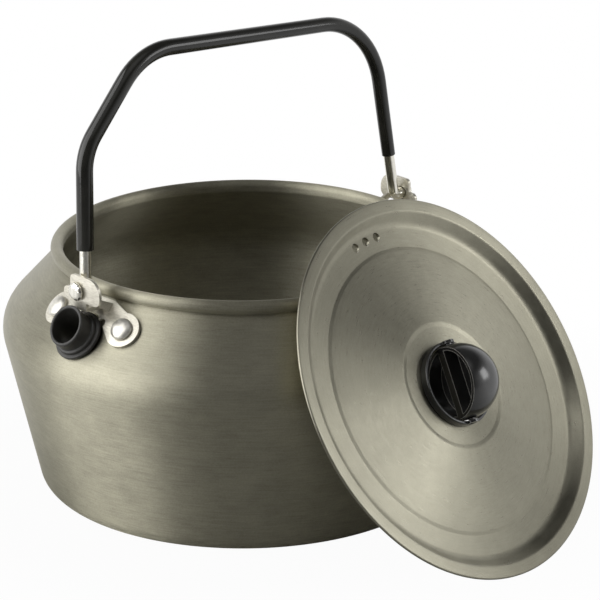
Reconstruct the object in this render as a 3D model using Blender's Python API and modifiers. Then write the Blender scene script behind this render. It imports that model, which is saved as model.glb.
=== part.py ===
"""Aluminium camp kettle: drawn body with a rolled rim, rubber spout tip, two riveted
brackets, a bent wire bail with a grip sleeve, and a spun lid with a turning knob that
leans on the body's side.

The origin is the centre of the base on the ground, +Z is up and the spout looks along -Y.
Sizes are written in millimetres and turned into metres by MM.
"""

import math

import bmesh
import bpy
from mathutils import Matrix, Vector

MM = 0.001

# Clearances
GAP = 0.3 * MM  # between pieces that touch
EASE = 0.4 * MM  # small corners eased in moulding and spinning
SLEEVE_FIT = 0.15 * MM  # sleeve bore round the wire
HOLE_FIT = 0.3 * MM  # a hole round what passes through it

# Kettle body: a cone that widens up to the belly, then a conical shoulder up to the neck
WALL = 1.2 * MM
BASE_R = 68.8 * MM  # where the wall's line meets the ground
BASE_ROUND = 6.2 * MM
BELLY_R = 82.16 * MM  # where the lines of wall and shoulder cross
BELLY_Z = 58.3 * MM
BELLY_ROUND = 12.7 * MM
SHOULDER_LEAN = math.radians(42.73)  # from upright
NECK_R = 60.32 * MM  # inside
BEAD_R = 2.07 * MM
BODY_STEPS = 60

# The front and rear fittings both stand a little towards +X of the line along Y
FITTING_SKEW = math.radians(1.1)

# Spout tip, a rubber grommet through the shoulder
SPOUT_DROP = 11.8 * MM  # its hole's centre, below the neck's crease
SPOUT_R = 6.4 * MM
SPOUT_BORE_R = 5.2 * MM
SPOUT_LENGTH = 8.1 * MM  # from the shoulder to the mouth's centre
SPOUT_MOUTH_LEAN = math.radians(31.0)  # how far the mouth looks up
SPOUT_FLANGE_R = 8.5 * MM
SPOUT_FLANGE_T = 1.2 * MM
SPOUT_STEP_R = 7.4 * MM
SPOUT_STEP_T = 1.3 * MM
SPOUT_LIP_R = 7.6 * MM
SPOUT_LIP_T = 1.5 * MM
SPOUT_LIP_DROP = 0.6 * MM  # the flat lip stands this far inside the curved wall

# Rivets, two to a bracket
RIVET_AZIMUTH = math.radians(12.5)  # to each side of the bracket's middle
RIVET_DROP = 7.6 * MM  # below the neck's crease
RIVET_SHANK_R = 1.7 * MM
RIVET_HEAD_R = 3.7 * MM
RIVET_HEAD_T = 1.9 * MM
RIVET_TAIL_R = 3.0 * MM
RIVET_TAIL_T = 1.1 * MM

# Bail: bent wire, pivoted along Y, with a sleeve on its grip
PIVOT_RISE = 3.8 * MM  # above the neck's crease
FRONT_REACH = 7.9 * MM  # each leg at the pivot, out from the neck's crease
REAR_REACH = 6.5 * MM
BAIL_REST = math.radians(-4.5)  # leans towards -X
WIRE_R = 1.85 * MM
FOOT_BEND = 2.05 * MM
FRONT_KNEE_IN = 3.7 * MM  # in from the foot
FRONT_KNEE_RISE = 44.0 * MM
FRONT_KNEE_ROUND = 18.0 * MM
FRONT_CREST_Y = 40.0 * MM
FRONT_CREST_RISE = 71.4 * MM
FRONT_CREST_ROUND = 25.0 * MM
REAR_CORNER_IN = 6.8 * MM  # in from the foot
REAR_CORNER_RISE = 63.4 * MM
REAR_CORNER_ROUND = 27.0 * MM
SLEEVE_FRONT_RISE = 12.5 * MM
SLEEVE_REAR_RISE = 14.5 * MM
SLEEVE_FRONT_R = 2.75 * MM
SLEEVE_REAR_R = 2.3 * MM
WIRE_HEAD_R = 3.0 * MM  # peened end
WIRE_HEAD_T = 1.5 * MM

# Brackets, pressed from one plate each
PLATE = 1.0 * MM
EYE_GAP = 0.4 * MM  # between the foot's bend and the eye panel
EYE_RIGHT = 10.4 * MM
EYE_LEFT = 3.4 * MM
EYE_ABOVE = 5.2 * MM  # above the pivot
EYE_BELOW = 3.4 * MM
EYE_ROUND = 5.2 * MM
EAR_LEFT = 6.6 * MM  # the low lobe beside the eye
EAR_ABOVE = 0.6 * MM
EAR_ROUND = 1.8 * MM
BAND_W = 8.0 * MM
LOBE_R = 5.9 * MM
STRAP_TOP_HALF = 7.0 * MM
STRAP_TOP_MARGIN = 1.3 * MM  # under the neck's crease
WEB_ROOT = 1.9 * MM  # under the strap's upper edge
GUSSET_X = 6.3 * MM
GUSSET_FOOT = 3.0 * MM
NOTCH_X = 6.4 * MM  # a round notch in the strap's lower edge
NOTCH_R = 1.5 * MM

# Lid, spun, leaning on the kettle's +X side
LID_R = 63.6 * MM
LID_T = 1.0 * MM
LID_OUT = 7.66 * MM  # its centre, out from where wall and shoulder cross
LID_Y = 5.64 * MM
LID_Z = 54.4 * MM
LID_AZIMUTH = math.radians(6.62)
LID_TILT = math.radians(32.9)  # how far its face looks up
FLANGE_W = 3.7 * MM
WELL_DEPTH = 3.5 * MM
WELL_WALL_RUN = 3.9 * MM
WELL_LIP_RUN = 1.4 * MM  # the soft corner under the flange
WELL_LIP_DROP = 0.9 * MM
WELL_FOOT = 0.7 * MM  # the soft corner at the well's floor
VENT_BAND_W = 7.6 * MM
WELL_STEP = 0.4 * MM
CROWN_R = 20.7 * MM
CROWN_RISE = 1.2 * MM
CROWN_STEP = 0.3 * MM
VENT_R = 1.55 * MM
VENT_RADIUS = 53.1 * MM
VENT_FIRST = math.radians(-1.8)  # from the lid's upper end
VENT_PITCH = math.radians(6.0)
VENTS = 3

# Knob: a ball cut flat, turning in a ring fixed through the lid's middle
BALL_R = 12.4 * MM
BALL_RISE = 4.4 * MM  # its centre above the lid's flange
BALL_CUT = 4.0 * MM  # from its centre to the flat face
BALL_CLEAR = 0.3 * MM
RIB_W = 3.0 * MM
POCKET_DEPTH = 5.0 * MM
POCKET_RIM = 1.1 * MM
KNOB_AXIS = math.radians(-11.0)  # from the lid's upper end
KNOB_TURN = math.radians(-99.5)  # from face up
PIN_R = 1.1 * MM
BEZEL_WALL = 1.2 * MM
BEZEL_SEAT = 1.0 * MM  # height of its cone over the lid
BEZEL_TOP = 3.8 * MM  # above the flange
SKIRT_WALL = 0.75 * MM
LUG_R = 2.0 * MM
CLAMP_W = 1.6 * MM
CLAMP_T = 1.2 * MM


# Helpers


def clear_scene():
    for old in list(bpy.data.objects):
        bpy.data.objects.remove(old, do_unlink=True)


def new_collection(name):
    made = bpy.data.collections.new(name)
    bpy.context.scene.collection.children.link(made)
    return made


def material(name, colour, roughness, metallic):
    made = bpy.data.materials.new(name)
    made.use_nodes = True
    shader = made.node_tree.nodes["Principled BSDF"]
    shader.inputs["Base Color"].default_value = (*colour, 1.0)
    shader.inputs["Roughness"].default_value = roughness
    shader.inputs["Metallic"].default_value = metallic
    made.diffuse_color = (*colour, 1.0)
    return made


def arc(centre, radius, start, end, steps):
    points = []
    for i in range(steps + 1):
        angle = start + (end - start) * i / steps
        points.append((centre[0] + radius * math.cos(angle), centre[1] + radius * math.sin(angle)))
    return points


def rounded(corners, step=math.radians(15)):
    """The open line through (a, b, radius) corners, each rounded by its radius."""
    points = []
    last = len(corners) - 1
    for i, (a, b, radius) in enumerate(corners):
        here = Vector((a, b))
        if i in (0, last) or radius <= 0:
            points.append((a, b))
            continue
        back = (Vector(corners[i - 1][:2]) - here).normalized()
        ahead = (Vector(corners[i + 1][:2]) - here).normalized()
        half = math.acos(max(-1.0, min(1.0, back.dot(ahead)))) / 2
        centre = here + (back + ahead).normalized() * (radius / math.sin(half))
        first = here + back * (radius / math.tan(half)) - centre
        turn = math.pi - 2 * half
        if back.cross(ahead) > 0:
            turn = -turn
        count = max(2, math.ceil(abs(turn) / step))
        start = math.atan2(first.y, first.x)
        points.extend(arc(centre, radius, start, start + turn, count))
    return points


def line_crossing(p, along_p, q, along_q):
    """Where two lines, each a point and a direction, cross."""
    t = (q - p).cross(along_q) / along_p.cross(along_q)
    return p + along_p * t


def turned(name, profile, steps, look, home, closed=False):
    """A profile of (radius, height) points turned round Z."""
    mesh = bpy.data.meshes.new(name)
    edges = [(i, i + 1) for i in range(len(profile) - 1)]
    if closed:
        edges.append((len(profile) - 1, 0))
    mesh.from_pydata([(r, 0.0, z) for r, z in profile], edges, [])
    made = bpy.data.objects.new(name, mesh)
    home.objects.link(made)
    screw = made.modifiers.new("Turn", "SCREW")
    screw.axis = "Z"
    screw.angle = 2 * math.pi
    screw.steps = steps
    screw.render_steps = steps
    screw.use_merge_vertices = True
    screw.merge_threshold = 0.00005
    screw.use_smooth_shade = True
    mesh.materials.append(look)
    return made


def baked(made, look, home):
    """The object as its modifiers shape it, as a plain mesh in the same place."""
    bpy.context.view_layer.update()
    seen = made.evaluated_get(bpy.context.evaluated_depsgraph_get())
    mesh = bpy.data.meshes.new_from_object(seen)
    mesh.name = made.name
    place = made.matrix_world.copy()
    name = made.name
    bpy.data.objects.remove(made, do_unlink=True)
    result = bpy.data.objects.new(name, mesh)
    home.objects.link(result)
    result.matrix_world = place
    weld_ends(mesh)
    mesh.materials.clear()
    if look:
        mesh.materials.append(look)
    return result


def weld_ends(mesh):
    edit = bmesh.new()
    edit.from_mesh(mesh)
    bmesh.ops.remove_doubles(edit, verts=edit.verts, dist=1e-6)
    bmesh.ops.recalc_face_normals(edit, faces=edit.faces)
    edit.to_mesh(mesh)
    edit.free()


def outline_plate(name, points, thickness, place, look, home):
    """A flat outline, filled and given its thickness about its own plane."""
    curve = bpy.data.curves.new(name, "CURVE")
    curve.dimensions = "2D"
    curve.fill_mode = "BOTH"
    curve.extrude = thickness / 2
    spline = curve.splines.new("POLY")
    spline.points.add(len(points) - 1)
    for point, (x, y) in zip(spline.points, points):
        point.co = (x, y, 0.0, 1.0)
    spline.use_cyclic_u = True
    made = bpy.data.objects.new(name, curve)
    home.objects.link(made)
    made.matrix_world = place
    return baked(made, look, home)


def wire(name, path, radii, look, home, place):
    """A round wire through points in the YZ plane, with its own radius at each point."""
    curve = bpy.data.curves.new(name, "CURVE")
    curve.dimensions = "3D"
    curve.bevel_depth = 1.0
    curve.bevel_resolution = 4
    curve.use_fill_caps = True
    spline = curve.splines.new("POLY")
    spline.points.add(len(path) - 1)
    for point, (y, z), radius in zip(spline.points, path, radii):
        point.co = (0.0, y, z, 1.0)
        point.radius = radius
    made = bpy.data.objects.new(name, curve)
    home.objects.link(made)
    made.matrix_world = place
    return baked(made, look, home)


def rod(name, radius, length, place, home, sides=20):
    """A cylinder along its own Z, centred on its origin."""
    bpy.ops.mesh.primitive_cylinder_add(vertices=sides, radius=radius, depth=length)
    made = bpy.context.object
    made.name = name
    move_to(made, home)
    made.matrix_world = place
    return made


def block(name, size, place, home):
    bpy.ops.mesh.primitive_cube_add(size=1.0)
    made = bpy.context.object
    made.name = name
    made.data.transform(Matrix.Diagonal((*size, 1.0)))
    move_to(made, home)
    made.matrix_world = place
    return made


def move_to(made, home):
    for old in list(made.users_collection):
        old.objects.unlink(made)
    home.objects.link(made)


def hidden(cutter):
    cutter.hide_render = True
    cutter.display_type = "WIRE"
    return cutter


def boolean(made, other, operation):
    cut = made.modifiers.new(other.name, "BOOLEAN")
    cut.operation = operation
    cut.solver = "EXACT"
    cut.object = hidden(other)
    return made


def smooth(made, angle=math.radians(32)):
    made.data.shade_smooth()
    made.data.set_sharp_from_angle(angle=angle)
    return made


def frame(origin, x, y):
    """A placement with its X and Y along two given square directions."""
    x = Vector(x).normalized()
    y = Vector(y).normalized()
    z = x.cross(y)
    turn = Matrix((x, y, z)).transposed().to_4x4()
    return Matrix.Translation(origin) @ turn


def empty(name, place, home):
    made = bpy.data.objects.new(name, None)
    made.empty_display_size = 0.01
    home.objects.link(made)
    made.matrix_world = place
    return made


def keep_under(child, parent):
    """Parents child without moving it."""
    bpy.context.view_layer.update()
    place = child.matrix_world.copy()
    child.parent = parent
    child.matrix_parent_inverse = parent.matrix_world.inverted()
    child.matrix_world = place


# Places on the shoulder


def shoulder_r(z):
    """The shoulder's outer radius at a height."""
    return BELLY_R - (z - BELLY_Z) * math.tan(SHOULDER_LEAN)


def shoulder_z(r):
    return BELLY_Z + (BELLY_R - r) / math.tan(SHOULDER_LEAN)


def up_shoulder():
    """(radius, height) direction up the shoulder."""
    return Vector((-math.sin(SHOULDER_LEAN), math.cos(SHOULDER_LEAN)))


def off_shoulder():
    """(radius, height) direction square out of the shoulder."""
    return Vector((math.cos(SHOULDER_LEAN), math.sin(SHOULDER_LEAN)))


def on_shoulder(azimuth, z, height=0.0):
    """A placement on the shoulder: X round the kettle, Y up the slope, Z square out."""
    r = shoulder_r(z)
    sin_a = math.sin(azimuth)
    cos_a = math.cos(azimuth)
    outward = Vector((sin_a, -cos_a, 0.0))
    slope = up_shoulder()
    up = outward * slope.x + Vector((0.0, 0.0, slope.y))
    place = frame(outward * r + Vector((0.0, 0.0, z)), (cos_a, sin_a, 0.0), up)
    return place @ Matrix.Translation((0.0, 0.0, height))


def bead_centre():
    r, z = crease()
    return r, z + BEAD_R


def crease():
    """(radius, height) of the crease between shoulder and bead."""
    r = NECK_R + BEAD_R
    return r, shoulder_z(r)


def spout_z():
    return crease()[1] - SPOUT_DROP


def rivet_z():
    return crease()[1] - RIVET_DROP


def pivot_z():
    return crease()[1] + PIVOT_RISE


# Kettle body


def body_corners():
    """The outer corners of base and belly, and the same two inside the wall."""
    base = Vector((BASE_R, 0.0))
    belly = Vector((BELLY_R, BELLY_Z))
    wall = (belly - base).normalized()
    inward = Vector((-wall.y, wall.x))
    slope = up_shoulder()
    in_base = line_crossing(Vector((0.0, WALL)), Vector((1.0, 0.0)), base + inward * WALL, wall)
    in_shoulder = belly - off_shoulder() * WALL
    in_belly = line_crossing(base + inward * WALL, wall, in_shoulder, slope)
    in_neck = line_crossing(in_shoulder, slope, Vector((NECK_R, 0.0)), Vector((0.0, 1.0)))
    return base, belly, in_base, in_belly, in_neck


def body_profile():
    base, belly, in_base, in_belly, in_neck = body_corners()
    bead_r, bead_z = bead_centre()
    inside = rounded([
        (0.0, WALL, 0.0),
        (in_base.x, in_base.y, max(BASE_ROUND - WALL, 0.5 * WALL)),
        (in_belly.x, in_belly.y, max(BELLY_ROUND - WALL, 0.5 * WALL)),
        (in_neck.x, in_neck.y, 0.0),
    ])
    bead = arc((bead_r, bead_z), BEAD_R, math.pi, math.radians(-65), 10)
    crease_r = bead_r + 0.15 * BEAD_R
    outside = rounded([
        (crease_r, shoulder_z(crease_r), 0.0),
        (belly.x, belly.y, BELLY_ROUND),
        (base.x, base.y, BASE_ROUND),
        (0.0, 0.0, 0.0),
    ])
    return inside + bead + outside


def make_body(home, cutters, look):
    body = turned("kettle_body", body_profile(), BODY_STEPS, look, home)
    hole_r = SPOUT_R + HOLE_FIT
    spout_place = on_shoulder(FITTING_SKEW, spout_z())
    boolean(body, rod("spout_hole", hole_r, 12 * WALL, spout_place, cutters), "DIFFERENCE")
    for side, (start, sign) in rivet_sides().items():
        place = on_shoulder(start + sign * RIVET_AZIMUTH, rivet_z())
        hole = rod(side + "_body_hole", RIVET_SHANK_R + HOLE_FIT, 10 * WALL, place, cutters, 12)
        boolean(body, hole, "DIFFERENCE")
    return smooth_profile(body)


def smooth_profile(made):
    """Round steps of a turned piece look round, its creases stay sharp."""
    made.data.shade_smooth()
    return made


def rivet_sides():
    """Each rivet's name, its bracket's azimuth and its side."""
    return {
        "front_rivet_right": (FITTING_SKEW, 1),
        "front_rivet_left": (FITTING_SKEW, -1),
        "rear_rivet_right": (math.pi - FITTING_SKEW, 1),
        "rear_rivet_left": (math.pi - FITTING_SKEW, -1),
    }


# Spout tip


def spout_profile():
    """From the bore's inner end outwards round the lip, flange and tube to the mouth."""
    lip_top = -(WALL + SPOUT_LIP_DROP)
    lip_low = lip_top - SPOUT_LIP_T
    flange_low = GAP
    flange_top = flange_low + SPOUT_FLANGE_T
    step_top = flange_top + SPOUT_STEP_T
    end = SPOUT_LENGTH + 2 * SPOUT_R * math.tan(spout_cut_angle())
    round_off = EASE
    return [
        (SPOUT_BORE_R, lip_low),
        (SPOUT_BORE_R, end),
        (SPOUT_R, end),
        (SPOUT_R, step_top),
        (SPOUT_STEP_R - round_off, step_top),
        (SPOUT_STEP_R, step_top - round_off),
        (SPOUT_STEP_R, flange_top),
        (SPOUT_FLANGE_R - round_off, flange_top),
        (SPOUT_FLANGE_R, flange_top - round_off),
        (SPOUT_FLANGE_R, flange_low),
        (SPOUT_R, flange_low),
        (SPOUT_R, lip_top),
        (SPOUT_LIP_R, lip_top),
        (SPOUT_LIP_R - round_off, lip_low),
    ]


def spout_cut_angle():
    """Between the spout's axis and the mouth's direction."""
    return math.pi / 2 - (math.pi / 2 - SHOULDER_LEAN) - SPOUT_MOUTH_LEAN


def make_spout(home, cutters, look):
    tip = turned("spout_tip", spout_profile(), 28, look, home, closed=True)
    place = on_shoulder(FITTING_SKEW, spout_z())
    tip.matrix_world = place
    size = 6 * SPOUT_R
    tilted = Matrix.Rotation(spout_cut_angle(), 4, "X") @ Matrix.Translation((0.0, 0.0, size / 2))
    beyond = place @ Matrix.Translation((0.0, 0.0, SPOUT_LENGTH)) @ tilted
    boolean(tip, block("spout_cut", (size, size, size), beyond, cutters), "DIFFERENCE")
    return tip


# Rivets


def rivet_profile():
    """Dome head, shank and flat tail round the rivet's axis, from the tail's middle up."""
    tail_top = -(WALL + GAP)
    head_low = 2 * GAP + PLATE
    dome = []
    for i in range(6):
        angle = math.pi / 2 * (1 - i / 5)
        rise = RIVET_HEAD_T * (0.25 + 0.75 * math.sin(angle))
        dome.append((RIVET_HEAD_R * math.cos(angle), head_low + rise))
    return dome + [
        (RIVET_HEAD_R, head_low),
        (RIVET_SHANK_R, head_low),
        (RIVET_SHANK_R, tail_top),
        (RIVET_TAIL_R, tail_top),
        (RIVET_TAIL_R, tail_top - 0.6 * RIVET_TAIL_T),
        (0.7 * RIVET_TAIL_R, tail_top - RIVET_TAIL_T),
        (0.0, tail_top - RIVET_TAIL_T),
    ]


def make_rivets(home, look):
    for name, (start, sign) in rivet_sides().items():
        rivet = turned(name, rivet_profile(), 16, look, home)
        rivet.matrix_world = on_shoulder(start + sign * RIVET_AZIMUTH, rivet_z())


# Brackets


def slope_point(up, out):
    """(radius, height) of a point up the slope from the rivets' level and out of the shoulder."""
    at = Vector((shoulder_r(rivet_z()), rivet_z())) + up_shoulder() * up + off_shoulder() * out
    return at.x, at.y


def up_slope(z):
    return (z - rivet_z()) / math.cos(SHOULDER_LEAN)


def strap_top():
    """The strap's upper edge, up the slope from the rivets."""
    return up_slope(crease()[1]) - STRAP_TOP_MARGIN


def strap_outline():
    """The strap seen square to the shoulder: two lobes, a top edge, a cut round the spout."""
    r = shoulder_r(rivet_z())
    lobe_x = r * math.sin(RIVET_AZIMUTH)
    lobe_y = r * (1 - math.cos(RIVET_AZIMUTH)) * math.sin(SHOULDER_LEAN)
    spout_y = up_slope(spout_z())
    top = strap_top()
    cut_r = SPOUT_FLANGE_R + 2 * GAP
    right = arc((lobe_x, lobe_y), LOBE_R, math.radians(-115), math.radians(105), 12)
    left = [(-x, y) for x, y in reversed(right)]
    notch_y = spout_y + math.sqrt(cut_r**2 - NOTCH_X**2)
    round_spout = arc((0.0, spout_y), cut_r, math.radians(115), math.radians(65), 6)
    right_notch = arc((NOTCH_X, notch_y), NOTCH_R, math.radians(160), math.radians(-40), 6)
    left_notch = [(-x, y) for x, y in reversed(right_notch)]
    low_edge = left_notch + round_spout + right_notch
    return right + [(STRAP_TOP_HALF, top), (-STRAP_TOP_HALF, top)] + left + low_edge


def make_strap(cutters):
    """A ring of plate that follows the shoulder, trimmed to the strap's outline."""
    low = up_slope(spout_z()) - SPOUT_FLANGE_R
    high = up_slope(crease()[1]) + PLATE
    outer = GAP + PLATE
    ring = [slope_point(high, outer), slope_point(low, outer)]
    ring += [slope_point(low, GAP), slope_point(high, GAP)]
    strap = turned("front_bracket", ring, BODY_STEPS, None, cutters, closed=True)
    place = on_shoulder(0.0, rivet_z())
    trim = outline_plate("strap_trim", strap_outline(), 14 * PLATE, place, None, cutters)
    return boolean(strap, trim, "INTERSECT")


def eye_plane():
    """How far from the kettle's axis the middle of the eye panel stands."""
    return crease()[0] + max(FRONT_REACH, REAR_REACH) + FOOT_BEND + EYE_GAP + PLATE / 2


def eye_outline():
    top = pivot_z() + EYE_ABOVE
    low = pivot_z() - EYE_BELOW
    step = pivot_z() + EAR_ABOVE
    return rounded_loop([
        (EYE_RIGHT, top, EYE_ROUND),
        (-EYE_LEFT, top, 0.3 * EYE_ROUND),
        (-EYE_LEFT, step, 0.1 * EYE_ROUND),
        (-EAR_LEFT, step, EAR_ROUND),
        (-EAR_LEFT, low, EAR_ROUND),
        (EYE_RIGHT, low, 0.5 * EYE_ROUND),
    ])


def rounded_loop(corners):
    """A closed outline with rounded corners."""
    wrapped = [corners[-1], *corners, corners[0]]
    return rounded(wrapped)[1:-1]


def band_outline():
    """The bridge's section: out of the strap, then up to the eye panel."""
    outer = eye_plane() + PLATE / 2
    inner = outer - PLATE
    start = slope_point(strap_top() - WEB_ROOT - 0.5 * PLATE, GAP + 0.2 * PLATE)
    under = slope_point(strap_top() - WEB_ROOT - 2 * PLATE, GAP + PLATE)
    back = slope_point(strap_top() - WEB_ROOT + 0.5 * PLATE, GAP + 0.7 * PLATE)
    web_low = under[1] + 0.6 * PLATE
    top = pivot_z() - EYE_BELOW + 0.9 * PLATE
    return [start, under, (outer, web_low), (outer, top), (inner, top), (inner, web_low + PLATE), back]


def gusset_outline():
    """A small triangle from the strap's top up to the eye panel's lower corner."""
    inner = eye_plane()
    low = pivot_z() - EYE_BELOW + 0.2 * PLATE
    return [
        slope_point(strap_top() - GUSSET_FOOT - PLATE, GAP + 0.6 * PLATE),
        (inner, low),
        (inner, low + 0.8 * GUSSET_FOOT),
        slope_point(strap_top() - PLATE, GAP + 0.6 * PLATE),
    ]


def make_brackets(home, cutters, look):
    front = make_strap(cutters)
    side_view = frame((0.0, 0.0, 0.0), (0.0, -1.0, 0.0), (0.0, 0.0, 1.0))
    front_view = frame((0.0, -eye_plane(), 0.0), (1.0, 0.0, 0.0), (0.0, 0.0, 1.0))
    boolean(front, outline_plate("band", band_outline(), BAND_W, side_view, None, cutters), "UNION")
    boolean(front, outline_plate("eye", eye_outline(), PLATE, front_view, None, cutters), "UNION")
    for sign in (-1, 1):
        place = Matrix.Translation((sign * GUSSET_X, 0.0, 0.0)) @ side_view
        boolean(front, outline_plate("gusset", gusset_outline(), PLATE, place, None, cutters), "UNION")
        place = on_shoulder(sign * RIVET_AZIMUTH, rivet_z())
        hole = rod("strap_hole", RIVET_SHANK_R + HOLE_FIT, 10 * PLATE, place, cutters, 12)
        boolean(front, hole, "DIFFERENCE")
    eye = frame((0.0, -eye_plane(), pivot_z()), (1.0, 0.0, 0.0), (0.0, 0.0, 1.0))
    boolean(front, rod("eye_hole", WIRE_R + HOLE_FIT, 4 * PLATE, eye, cutters, 16), "DIFFERENCE")
    front = baked(front, look, home)
    smooth(front)
    rear = bpy.data.objects.new("rear_bracket", front.data)
    home.objects.link(rear)
    front.rotation_euler = (0.0, 0.0, FITTING_SKEW)
    rear.rotation_euler = (0.0, 0.0, math.pi - FITTING_SKEW)


# Bail


def bail_corners():
    """The wire's corners in its own plane, from the front pivot over the top to the rear one."""
    front = crease()[0] + FRONT_REACH
    rear = crease()[0] + REAR_REACH
    return [
        (-front, 0.0, FOOT_BEND),
        (FRONT_KNEE_IN - front, FRONT_KNEE_RISE, FRONT_KNEE_ROUND),
        (-FRONT_CREST_Y, FRONT_CREST_RISE, FRONT_CREST_ROUND),
        (rear - REAR_CORNER_IN, REAR_CORNER_RISE, REAR_CORNER_ROUND),
        (rear, 0.0, FOOT_BEND),
    ]


def on_leg(foot, knee, rise):
    """The point on a straight leg at a height above the pivot."""
    share = rise / knee[1]
    return foot[0] + (knee[0] - foot[0]) * share, rise


def bail_x():
    """The pivots' line passes the middle of both eyes."""
    return eye_plane() * math.sin(FITTING_SKEW)


def wire_end():
    return eye_plane() + PLATE / 2 + GAP + 0.5 * WIRE_HEAD_T


def make_bail(home, cutters, steel, sleeve_look):
    corners = bail_corners()
    place = Matrix.Translation((bail_x(), 0.0, pivot_z())) @ Matrix.Rotation(BAIL_REST, 4, "Y")
    swing = empty("bail_pivot", place, home)

    path = rounded([(-wire_end(), 0.0, 0.0), *corners, (wire_end(), 0.0, 0.0)])
    bail = wire("bail_wire", path, [WIRE_R] * len(path), steel, home, place)
    for name, sign in (("front_head", -1), ("rear_head", 1)):
        middle = eye_plane() + PLATE / 2 + GAP + WIRE_HEAD_T / 2
        along = frame((0.0, sign * middle, 0.0), (1.0, 0.0, 0.0), (0.0, 0.0, 1.0))
        boolean(bail, rod(name, WIRE_HEAD_R, WIRE_HEAD_T, place @ along, cutters, 16), "UNION")
    smooth(bail, math.radians(50))
    keep_under(bail, swing)

    first = on_leg(corners[0], corners[1], SLEEVE_FRONT_RISE)
    last = on_leg(corners[4], corners[3], SLEEVE_REAR_RISE)
    path = rounded([(*first, 0.0), *corners[1:4], (*last, 0.0)])
    outer = wire("bail_sleeve", path, sleeve_radii(path), sleeve_look, home, place)
    before = on_leg(corners[0], corners[1], SLEEVE_FRONT_RISE - WIRE_R)
    after = on_leg(corners[4], corners[3], SLEEVE_REAR_RISE - WIRE_R)
    bore_path = [before, *path, after]
    bore = wire("sleeve_bore", bore_path, [WIRE_R + SLEEVE_FIT] * len(bore_path), None, cutters, place)
    boolean(outer, bore, "DIFFERENCE")
    smooth(outer, math.radians(50))
    keep_under(outer, swing)


def sleeve_radii(path):
    """Thick on the front leg and slant, thinner from the top bar to the rear end."""
    lengths = [0.0]
    for a, b in zip(path, path[1:]):
        lengths.append(lengths[-1] + math.dist(a, b))
    thin_from = math.dist(path[0], (-FRONT_CREST_Y, FRONT_CREST_RISE))
    radii = []
    for length in lengths:
        share = max(0.0, (length - thin_from) / (lengths[-1] - thin_from))
        radii.append(SLEEVE_FRONT_R + (SLEEVE_REAR_R - SLEEVE_FRONT_R) * min(1.0, share))
    return radii


# Lid and knob, in the lid's own frame: Z out of its face, X towards its upper end


def lid_place():
    out = Vector((
        math.cos(LID_TILT) * math.cos(LID_AZIMUTH),
        math.cos(LID_TILT) * math.sin(LID_AZIMUTH),
        math.sin(LID_TILT),
    ))
    up = (Vector((0.0, 0.0, 1.0)) - out * out.z).normalized()
    return frame((BELLY_R + LID_OUT, LID_Y, LID_Z), up, out.cross(up))


def bezel_r():
    return BALL_R + BALL_CLEAR + BEZEL_WALL


def skirt_in():
    """The skirt's bore clears the ball where it is narrower, under the lid's crown."""
    level = BALL_RISE - CROWN_RISE
    return math.sqrt(BALL_R**2 - level**2) + 2 * BALL_CLEAR


def lid_hole_r():
    return skirt_in() + SKIRT_WALL + GAP


def crown_floor():
    return CROWN_RISE - CROWN_STEP


def well_r():
    return LID_R - FLANGE_W - WELL_WALL_RUN


def lid_profile():
    flange_in = LID_R - FLANGE_W
    band_in = well_r() - VENT_BAND_W
    edge = 0.3 * LID_T
    top = [
        (lid_hole_r(), crown_floor()),
        (CROWN_R - EASE, crown_floor()),
        (CROWN_R, CROWN_RISE),
        (band_in - EASE, WELL_STEP - WELL_DEPTH),
        (band_in, -WELL_DEPTH),
        (well_r() - WELL_FOOT, -WELL_DEPTH),
        (well_r(), WELL_FOOT - WELL_DEPTH),
        (flange_in - WELL_LIP_RUN, -WELL_LIP_DROP),
        (flange_in, 0.0),
        (LID_R - edge, 0.0),
        (LID_R, -edge),
        (LID_R, edge - LID_T),
        (LID_R - edge, -LID_T),
    ]
    under = [
        (flange_in + 0.35 * LID_T, -LID_T),
        (flange_in - WELL_LIP_RUN + 0.6 * LID_T, -WELL_LIP_DROP - 0.8 * LID_T),
        (well_r() + 0.7 * LID_T, WELL_FOOT - WELL_DEPTH - 0.7 * LID_T),
        (well_r() - EASE, -WELL_DEPTH - LID_T),
        (band_in - 0.1 * LID_T, -WELL_DEPTH - LID_T),
        (band_in - 0.1 * LID_T - EASE, WELL_STEP - WELL_DEPTH - LID_T),
        (CROWN_R, CROWN_RISE - LID_T),
        (CROWN_R - EASE, crown_floor() - LID_T),
        (lid_hole_r(), crown_floor() - LID_T),
    ]
    return top + under


def make_lid(home, cutters, look):
    place = lid_place()
    dish = turned("lid_dish", lid_profile(), BODY_STEPS, look, home, closed=True)
    dish.matrix_world = place
    for i in range(VENTS):
        angle = VENT_FIRST + VENT_PITCH * i
        at = Vector((VENT_RADIUS * math.cos(angle), VENT_RADIUS * math.sin(angle), -WELL_DEPTH))
        vent = rod("vent", VENT_R, 6 * LID_T, place @ Matrix.Translation(at), cutters, 10)
        boolean(dish, vent, "DIFFERENCE")
    keep_under(dish, empty("lid_seat", place, home))
    return smooth_profile(dish)


def bezel_profile():
    low = crown_floor() - LID_T - GAP - CLAMP_T
    seat = crown_floor() + GAP
    bore = BALL_R + BALL_CLEAR
    skirt_out = skirt_in() + SKIRT_WALL
    round_off = EASE
    return [
        (skirt_in(), low),
        (skirt_in(), seat),
        (bore, seat + BEZEL_SEAT),
        (bore, BEZEL_TOP - round_off),
        (bore + round_off, BEZEL_TOP),
        (bezel_r() - round_off, BEZEL_TOP),
        (bezel_r(), BEZEL_TOP - round_off),
        (bezel_r(), seat),
        (skirt_out, seat),
        (skirt_out, low),
    ]


def knob_axis_place():
    """At the ball's centre in the lid's frame, X along the knob's axis, Z out of the lid."""
    return Matrix.Translation((0.0, 0.0, BALL_RISE)) @ Matrix.Rotation(KNOB_AXIS, 4, "Z")


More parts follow.
